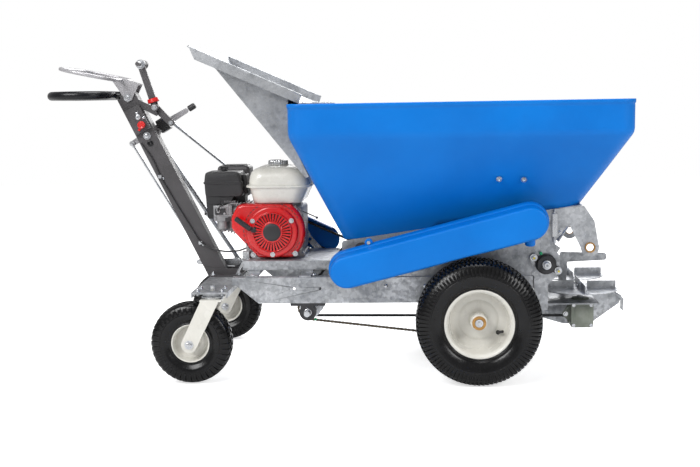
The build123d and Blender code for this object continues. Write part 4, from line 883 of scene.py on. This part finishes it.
def chain(name, a, ra, b, rb, y, node, pitch=12.7):
    """Roller chain round two sprockets: pairs of waisted side plates and their rollers."""
    line = wrap_line(a, ra, b, rb, 40, 60)
    lengths = [hypot(q[0] - p[0], q[1] - p[1]) for p, q in zip(line, line[1:] + line[:1])]
    total = sum(lengths)
    count = round(total / pitch / 2) * 2
    joints, done, i = [], 0.0, 0
    for k in range(count):
        goal = total * k / count
        while done + lengths[i] < goal:
            done += lengths[i]
            i += 1
        joints.append(slope(line[i], (line + line[:1])[i + 1], (goal - done) / lengths[i]))
    made = Shape()
    for k, (p, q) in enumerate(zip(joints, joints[1:] + joints[:1])):
        made.lathe([(4.0, -3.4), (4.2, 3.4)], (p[0], y, p[1]), steps=10)
        run = hypot(q[0] - p[0], q[1] - p[1])
        lean = Matrix.Rotation(-atan2(q[1] - p[1], q[0] - p[0]), 4, "Y")
        place = Matrix.Translation((p[0], y, p[1])) @ lean
        inner = 2.6 if k % 2 else 3.6
        outline = []
        for centre, start, waist in ((run, -pi / 2, 2.5), (0, pi / 2, -2.5)):
            outline += arc_points((centre, 0), 4.2, start, pi, 4)
            outline.append((run / 2, waist))
        for low, high in ((inner, inner + 1.0), (-inner - 1.0, -inner)):
            made.skin([[(x, low, z) for x, z in outline], [(x, high, z) for x, z in outline]], place=place)
    made.piece(name, "chassis", "chain_steel", [node])


def toothed(name, body, centre, radius, y, width, count):
    """Tooth tips round a plain sprocket disc."""
    made = Shape()
    for k in range(count):
        turn = 2 * pi * k / count
        place = Matrix.Translation((centre[0], y, centre[1])) @ Matrix.Rotation(-turn, 4, "Y")
        tooth = [(radius - 8, -3.6), (radius + 2.6, -1.3), (radius + 2.6, 1.3), (radius - 8, 3.6)]
        made.skin([[(x, plane, z) for x, z in tooth] for plane in (-width / 2, width / 2)], place=place)
    made.piece(name, body, "chain_steel")


def drive_train():
    """Chains, sprocket teeth and shaft ends, and the bearings' screws, paint marks and grease caps."""
    jack, counter, head = centre_of("jackshaft"), (-440.0, 362.0), centre_of("head_roller")
    chain("drive_chain_links", jack, 42.0, (0.0, AXLE_Z), 98.0, DRIVE_CHAIN_Y, "drive_chain")
    chain("conveyor_chain_links", counter, 25.0, head, 24.9, CONVEYOR_CHAIN_Y, "conveyor_chain")
    toothed("axle_sprocket_teeth", "drive_wheels", (0.0, AXLE_Z), 95.0, DRIVE_CHAIN_Y, 4.0, 48)
    caps, marks, grease = Shape(), Shape(), Shape()
    for side in (-1, 1):
        for centre, plane, radius in ((jack, 249.0, 13.0), (BEATER, 275.0, 15.0)):
            cover = [(radius, 0), (radius, 3), (radius - 2, 4), (10.8, 4), (10.8, 0)]
            caps.lathe(cover, (centre[0], side * plane, centre[1]), (0, side, 0), 32)
        y = side * JACK_BEARING_Y
        for x in (jack[0] - 42, jack[0] + 42):
            caps.nut((x, y, 246.0), UP, 8.0)
            marks.block((x - 4, x + 4), (y - 4, y + 4), (254.2, 255.0))
        for x, z in ((BEATER[0] - 40, BEATER[1] + 22), (BEATER[0] + 40, BEATER[1] - 22)):
            caps.nut((x, side * 256.0, z), (0, side, 0), 11.0, stud=5)
            marks.lathe([(3.6, 0), (3.6, 0.8)], (x, side * 270.6, z), (0, side, 0), 16)
        grease.lathe([(3, 0), (5.2, 1), (5.2, 8), (3.6, 10)], (211, side * 262.0, 402), (-0.4, 0, 1), 16)
        low = (jack[0] + 22, y + side * 2, 190)
        grease.lathe([(3, 0), (4.6, 1), (4.6, 7), (3.2, 8)], low, (0.7, 0, -0.9), 16)
    caps.piece("bearing_hardware", "chassis", "zinc_plate")
    marks.piece("torque_marks", "chassis", material=YELLOW)
    grease.piece("grease_caps", "chassis", material=GREEN)
    for body, centre, plane in (("jackshaft", jack, 262.0), ("beater", BEATER, 286.0)):
        ends = Shape()
        for side in (-1, 1):
            rim = [(10, -12), (10, 0), (8.6, 1.2), (4.5, 1.2), (3.5, -2), (0.1, -4)]
            ends.lathe(rim, (centre[0], side * plane, centre[1]), (0, side, 0), 32)
        ends.piece(body + "_end", body, "zinc_plate")


def take_up():
    """Belt take-up studs with stacked nuts beside the head roller, and the bushes of the hanging tabs."""
    made, bush = Shape(), Shape()
    for side in (-1, 1):
        for x, z in ((234, 520), (271, 474)):
            made.nut((x, side * TAB_Y, z), (0, side, 0), 9.0, stud=16)
            made.nut((x, side * (TAB_Y + 13), z), (0, side, 0), 8.1, washer=False)
        made.block((246, 262), low_high(side * TAB_Y, side * (TAB_Y + 24)), (462, 536))
        middle = side * (TAB_Y + 12)
        made.rod((254, middle, 440), (254, middle, 552), 5.0)
        made.nut((254, middle, 536), UP, 8.0)
        made.nut((254, middle, 456), DOWN, 8.0)
        ring = [(12.2, -4), (12.2, 6), (12.8, 7), (16.4, 7), (17.2, 6), (17.2, 0.5), (14, -4)]
        bush.lathe(ring, (371, side * TAB_Y, 423), (0, side, 0), 40, closed=True)
    made.piece("take_up_hardware", "chassis", "zinc_plate")
    bush.piece("tab_bushes", "chassis", material=BRONZE)


def panel_outline(half_x, half_z, share):
    """Outline in (x, z) of a panel with rounded corners, about the gearboxes' centre."""
    left, right = DISC_X - half_x, DISC_X + half_x
    low, high = GEARBOX_Z - half_z, GEARBOX_Z + half_z
    corners = [(left, GEARBOX_Z), (left, high), (right, high), (right, low), (left, low), (left, GEARBOX_Z)]
    return soft_profile(corners, share, 3)[:-1]


def gearbox_covers():
    """Cover plates with corner screws, side flanges, and the collars round the output shafts."""
    made, bolts = Shape(), Shape()
    x, z = DISC_X, GEARBOX_Z
    flange = [(x - 62, z + 6), (x - 62, z - 6), (x - 37, z - 30), (x - 37, z + 34)]
    screw = [(5.5, 0), (5.5, 3.5), (3.2, 3.6), (3.0, 1.6), (0.1, 1.6)]
    for side in (-1, 1):
        face = side * GEARBOX_Y
        step = face + side * 5
        made.prism(panel_outline(37, 42, 0.12), low_high(face, step))
        made.prism(panel_outline(24, 29, 0.2), low_high(step, step + side * 1.2))
        for dx in (-29, 29):
            for dz in (-34, 34):
                bolts.lathe(screw, (x + dx, step, z + dz), (0, side, 0), 20)
        made.prism(flange, low_high(side * 172, side * 178))
        bolts.nut((x - 52, side * 178, z), (0, side, 0), 7.0)
        made.lathe([(30, 0), (30, 8), (25, 10), (16.5, 10)], (x, side * DISC_Y, z + 42), UP, 40)
    made.piece("gearbox_covers", "chassis", "gearbox_grey", bevel=0.9)
    bolts.piece("gearbox_screws", "chassis", "zinc_plate")


def spinner_details():
    """Centre nuts on the discs, and two bolts at the foot of each vane."""
    for tag, side in (("right", -1), ("left", 1)):
        middle = side * DISC_Y
        made = Shape().nut((DISC_X, middle, 283), UP, 10.0, stud=4)
        for k in range(4):
            along, across = cos(k * pi / 2), sin(k * pi / 2)
            for r in (48, 98):
                bolt = (DISC_X + r * along - 6 * across, middle + r * across + 6 * along, 274)
                made.nut(bolt, UP, 4.5)
        made.piece("disc_bolts_" + tag, "spinner_" + tag, "zinc_plate")


# ---------------------------------------------------------------- frame and handle hardware
COLUMN_FOOT, COLUMN_HEAD = (-905.0, 312.0), (-1212.0, 946.0)
FORK_PLATE_X, SWIVEL_X = -869.0, -865.0


def column_point(share, off=0.0):
    """Point (x, z) on the column's centre line, moved off towards the discs."""
    px, pz = slope(COLUMN_FOOT, COLUMN_HEAD, share)
    run = hypot(COLUMN_HEAD[0] - COLUMN_FOOT[0], COLUMN_HEAD[1] - COLUMN_FOOT[1])
    nx = (COLUMN_HEAD[1] - COLUMN_FOOT[1]) / run
    nz = -(COLUMN_HEAD[0] - COLUMN_FOOT[0]) / run
    return px + nx * off, pz + nz * off


def frame_hardware():
    """Bolts of the forks, deck and rails, the hopper's bolts on its sloping sides, and the guard's bosses."""
    made = Shape()
    for side in (-1, 1):
        fork_y = side * CASTER_Y
        for dx, dy in ((-40, -30), (40, -30), (-40, 34), (40, 34)):
            made.nut((FORK_PLATE_X + dx, fork_y + dy, 305), UP, 8.0, stud=3)
            made.nut((FORK_PLATE_X + dx, fork_y + dy, 299), DOWN, 8.0)
        for dx in (-46, 46):
            made.nut((FORK_PLATE_X + dx, side * 52.0, 311), UP, 9.0, stud=4)
        made.nut((SWIVEL_X, fork_y, 311), UP, 12.0)
        for x in (-750, -540):
            made.dome((x, side * 226.0, 336), UP, 8.0, 4.5)
        for x in (-420, -300, -170):
            made.dome((x, side * 250.0, 300), (0, side, 0), 7.0, 4.0)
    foot = sum(THROAT_Z) / 2
    rise, spread = SHOULDER_Z - foot, HOPPER_Y[1] - THROAT_Y[1]
    for x, z in ((69, 657), (148, 654)):
        for side in (-1, 1):
            y = side * (THROAT_Y[1] + spread * (z - foot) / rise)
            lean = Vector((0, side * rise, -spread)).normalized()
            made.nut(Vector((x, y, z)) + lean * 0.5, lean, 9.0, stud=5)
    made.nut((-351, -346, 458), NEAR, 9.0, stud=4)
    made.nut((150, -321, 455), NEAR, 7.0)
    made.piece("frame_hardware", "chassis", "zinc_plate")
    boss = Shape()
    boss.lathe([(13, 0), (13, 12), (11, 14), (8, 14)], (-351, -334, 458), NEAR, 28)
    boss.lathe([(17, 0), (17, 18), (14, 21), (9, 21)], (168, -326, 462), (0, 0.2, -1), 28)
    boss.piece("guard_bosses", "chassis", "blue_plastic")


def tray_hardware():
    """Hems along the tray's edges and the bolts that hold it to the rim."""
    made = Shape()
    for side in (-1, 1):
        y = side * 364.5
        made.rod((-915, y, 1093.5), (-557, y, 934), 2.6, edge=0.3)
        for x in (-556, -520):
            made.dome((x, side * 300.0, 909), UP, 8.0, 4.0)
    made.rod((-915.5, -364, 1094), (-915.5, 364, 1094), 2.6, edge=0.3)
    for k in range(5):
        made.dome((-530, -240 + 120 * k, 909), UP, 8.0, 4.0)
    made.piece("tray_hems", "chassis", "galvanised_steel")


def column_hardware():
    """Bolts and washers up the column, cable clips, the grommet and the control cover's screws."""
    bright, dark = Shape(), Shape()
    x, z = column_point(0.775, 2)
    bright.nut((x, -25, z), NEAR, 12.0, stud=2)
    x, z = column_point(0.705, 2)
    bright.nut((x, 25, z), FAR, 12.0, stud=2)
    for share, off in ((0.895, 10), (0.86, 24)):
        x, z = column_point(share, off)
        bright.dome((x, -41, z), NEAR, 5.5, 3.0)
    for x, z in ((-1099, 660), (-962, 424)):
        bright.block((x - 6, x + 6), (-36, -25), (z - 6, z + 6))
        bright.dome((x + 9, -25, z - 8), NEAR, 5.5, 3.4)
    x, z = column_point(0.735)
    grommet = [(5, 0), (9, 0), (10, 1.5), (10, 4), (8, 5.5), (5, 5.5)]
    dark.lathe(grommet, (x, -25.5, z), NEAR, 28, closed=True)
    x, z = column_point(0.875, 8)
    bright.lathe([(9, 0), (9, 2.5), (7, 3.6), (3.5, 3.6), (3.5, 1.5), (0.1, 1.5)], (x, -41, z), NEAR, 28)
    head = [(13, 0), (13, 1.6), (8, 1.8), (8, 5), (6, 7), (0.1, 7.4)]
    for side in (-1, 1):
        bright.lathe(head, (-1205, side * 29.5, 938), (0, side, 0), 32)
    bright.piece("column_bolts", "chassis", "zinc_plate")
    dark.piece("cable_grommet", "chassis", "grip_rubber")
    pivot = Shape()
    for y, side in ((-26, -1), (0, 1)):
        pivot.nut((-1111, y, 903), (0, side, 0), 9.0)
    pivot.nut((-1146, 88, 817), FAR, 11.0)
    pivot.piece("lever_pivots", "chassis", "zinc_plate")


LEVER_PIVOT, LEVER_TIP = (-1146.0, 817.0), (-1021.0, 889.0)
BOOT_OUTLINE = ((62, -18), (62, 18), (69, 25), (100, 25), (104, 18), (104, -18), (100, -25), (69, -25))


def clutch_hardware():
    """The clutch lever's red foot ring, its two bolts and its ribbed grip."""
    foot = [(15.5, -3), (19, -3), (21, 0), (19, 12), (15.5, 12)]
    ring = Shape().lathe(foot, (-1117, -9, 923), (-0.3, 0, 1), 32, closed=True)
    ring.piece("lever_ring", "clutch_lever", "red_plastic")
    metal = Shape().nut((-1158, -12, 1054), NEAR, 15.0)
    metal.nut((-1058, -12, 848), NEAR, 7.0)
    metal.piece("clutch_lever_hardware", "clutch_lever", "zinc_plate")
    run = 50.0
    profile = [(9, 0), (14, 0.6), (15, 3)]
    for k in range(6):
        h = 5 + k * (run - 12) / 6
        profile += [(15.2, h), (15.2, h + 4), (14.3, h + 4.6), (14.3, h + 6)]
    profile += [(15.2, run - 5), (14, run - 1.5), (10, run), (0.1, run)]
    grip = Shape().lathe(profile, (-1158, -4, 1054), FAR, 36)
    grip.piece("clutch_knob", "clutch_lever", "black_plastic", ["clutch_grip"], angle=30)


def drive_lever_hardware():
    """The drive lever's knob and boot, and the pins and rod ends of its linkage."""
    inner, outer = slope(LEVER_TIP, LEVER_PIVOT, -0.08), slope(LEVER_TIP, LEVER_PIVOT, -0.28)
    start, end = Vector((inner[0], 76, inner[1])), Vector((outer[0], 76, outer[1]))
    profile = [(8, 0), (10.4, 1), (11, 4), (11, 20), (10.6, 24), (9, 27.5), (5, 29), (0.1, 29.3)]
    knob = Shape().lathe(profile, start, end - start, 36)
    knob.piece("drive_knob", "drive_lever", "black_plastic", ["drive_grip"])
    near, far = slope(LEVER_PIVOT, LEVER_TIP, 0.2), slope(LEVER_PIVOT, LEVER_TIP, 0.46)
    run = hypot(far[0] - near[0], far[1] - near[1])
    lean = Matrix.Rotation(-atan2(far[1] - near[1], far[0] - near[0]), 4, "Y")
    place = Matrix.Translation((near[0], 0, near[1])) @ lean
    boot = Shape().skin([[(x, y, z) for y, z in BOOT_OUTLINE] for x in (0, run)], place=place)
    boot.piece("drive_lever_boot", "drive_lever", "black_plastic", bevel=2.0)
    pins = Shape().nut((-1219, 80, 775), FAR, 8.0)
    pins.piece("traction_pin", "drive_lever", "zinc_plate")
    link = Shape()
    low = (-968, 64, 347)
    link.lathe([(9, -7), (9, 7)], low, FAR, 24)
    link.nut((-968, 54, 345), NEAR, 9.0, stud=4)
    link.piece("traction_rod_end", "traction_arm", "zinc_plate")
    nut = Shape().rod((-1219, 64, 775), (-1212, 64, 763), 6.5)
    nut.rod((-975, 64, 359), (-981, 64, 369), 6.5)
    nut.piece("traction_rod_ends", "traction_rod", "zinc_plate")


def stop_knob():
    """Ribbed red knob on its stem, with a tag below."""
    x, z = column_point(0.832, 8)
    profile = [(5, 0), (12, 0.8), (13.5, 3), (13.5, 9), (12.8, 12), (10, 13.6), (9, 13.0), (6, 12.4)]
    profile += [(3, 13.4), (0.2, 13.6)]
    rings = [wavy_ring(r, h, 0.6 if 2 < h < 12.5 and r > 11 else 0.0, 16) for r, h in profile]
    made = Shape().skin(rings, place=turned((x, -45.5, z), NEAR))
    made.lathe([(5, -12), (5, 1)], (x, -45, z), NEAR, 20)
    tag = Matrix.Translation((x, -46, z)) @ Matrix.Rotation(radians(28), 4, "Y")
    made.block((-4, 4), (-5, -1), (-23, -10), tag)
    made.piece("stop_button", "stop_knob", "red_plastic", ["stop_knob"], angle=40)


def fork_hardware():
    """Axle bolts, races' ball rows and grease nipples of the casters."""
    for tag, side in (("right", -1), ("left", 1)):
        centre = centre_of("caster_tyre_" + tag)
        middle = side * CASTER_Y
        made = Shape()
        for out in (-1, 1):
            made.nut((centre[0], middle + out * 54.0, centre[1]), (0, out, 0), 13.0)
        made.lathe([(34, -3), (36, 0), (36, 4), (33, 7), (30, 7)], (SWIVEL_X, middle, 283), UP, 48)
        for k in range(22):
            across, along = cos(2 * pi * k / 22), sin(2 * pi * k / 22)
            made.dome((SWIVEL_X + 33 * across, middle + 33 * along, 287), (across, along, 0), 2.2, 2.0)
        made.piece("caster_axle_bolts_" + tag, "caster_fork_" + tag, "zinc_plate")


hopper()
chain_guard()
wheels()
fan_cover()
fuel_tank()
air_cleaner()
carburettor()
cylinder_fins()
starter()
drive_train()
take_up()
gearbox_covers()
spinner_details()
frame_hardware()
tray_hardware()
column_hardware()
clutch_hardware()
drive_lever_hardware()
stop_knob()
fork_hardware()


# ---------------------------------------------------------------- stage
SURROUND_LIGHT = 0.42
FLOOR_GLOW = 0.66
WHITE = rgba((1.0, 1.0, 1.0))
SOFT_BOXES = (
    ("key", (-2.4, -3.2, 3.4), 2.0, 150),
    ("fill", (3.4, -2.6, 2.4), 1.6, 60),
    ("top", (0.2, 0.3, 4.2), 2.6, 120),
    ("rim", (0.6, 4.2, 2.6), 2.6, 110),
)


def camera_only(tree, for_light, for_camera):
    """Number that is one thing in what lights the object and another in what the camera sees directly."""
    path = tree.nodes.new("ShaderNodeLightPath")
    made = tree.nodes.new("ShaderNodeMapRange")
    tree.links.new(path.outputs["Is Camera Ray"], made.inputs["Value"])
    made.inputs["To Min"].default_value = for_light
    made.inputs["To Max"].default_value = for_camera
    return made.outputs["Result"]


def stage():
    """Pale seamless floor and surround, lit by soft boxes."""
    mesh = bpy.data.meshes.new("floor")
    floor = Shape().block((-9000, 9000), (-9000, 9000), (-40, -0.6))
    floor.bm.to_mesh(mesh)
    made = bpy.data.objects.new("floor", mesh)
    bpy.context.scene.collection.objects.link(made)
    dark, light = (0.84, 0.84, 0.84), (0.88, 0.88, 0.88)
    paint = finish_material("floor_paint", dark, light, (0.6, 0.75), clouds=1.2, grain=60.0)
    tree = paint.node_tree
    shader = tree.nodes["Principled BSDF"]
    shader.inputs["Emission Color"].default_value = WHITE
    tree.links.new(camera_only(tree, 0.0, FLOOR_GLOW), shader.inputs["Emission Strength"])
    mesh.materials.append(paint)
    world = bpy.context.scene.world or bpy.data.worlds.new("surround")
    bpy.context.scene.world = world
    world.use_nodes = True
    tree = world.node_tree
    surround = tree.nodes["Background"]
    surround.inputs["Color"].default_value = WHITE
    tree.links.new(camera_only(tree, SURROUND_LIGHT, 1.0), surround.inputs["Strength"])
    for name, place, size, power in SOFT_BOXES:
        light = bpy.data.lights.new(name, "AREA")
        light.energy = power
        light.size = size
        lamp = bpy.data.objects.new(name, light)
        lamp.location = place
        aim = Vector((0.0, 0.0, 0.5)) - Vector(place)
        lamp.rotation_euler = aim.to_track_quat("-Z", "Y").to_euler()
        bpy.context.scene.collection.objects.link(lamp)


CAMERA_PLACE = (-191.95, -3872.56, 903.79)
CAMERA_TURN = (-0.062, -0.117, -0.017)
LENS, SENSOR = 56.7, 36.0


def camera():
    """Side view from the chain guard's side, looking a little down."""
    yaw, pitch, roll = CAMERA_TURN
    forward = Vector((sin(yaw) * cos(pitch), cos(yaw) * cos(pitch), sin(pitch)))
    level = Vector((cos(yaw), -sin(yaw), 0.0))
    up = level.cross(forward)
    right = cos(roll) * level + sin(roll) * up
    top = cos(roll) * up - sin(roll) * level
    lens = bpy.data.cameras.new("camera")
    lens.lens = LENS
    lens.sensor_width = SENSOR
    made = bpy.data.objects.new("camera", lens)
    turn = Matrix((right, top, -forward)).transposed().to_4x4()
    made.matrix_world = Matrix.Translation(at(*CAMERA_PLACE)) @ turn
    bpy.context.scene.collection.objects.link(made)
    bpy.context.scene.camera = made
    bpy.context.scene.view_settings.view_transform = "Standard"


stage()
camera()
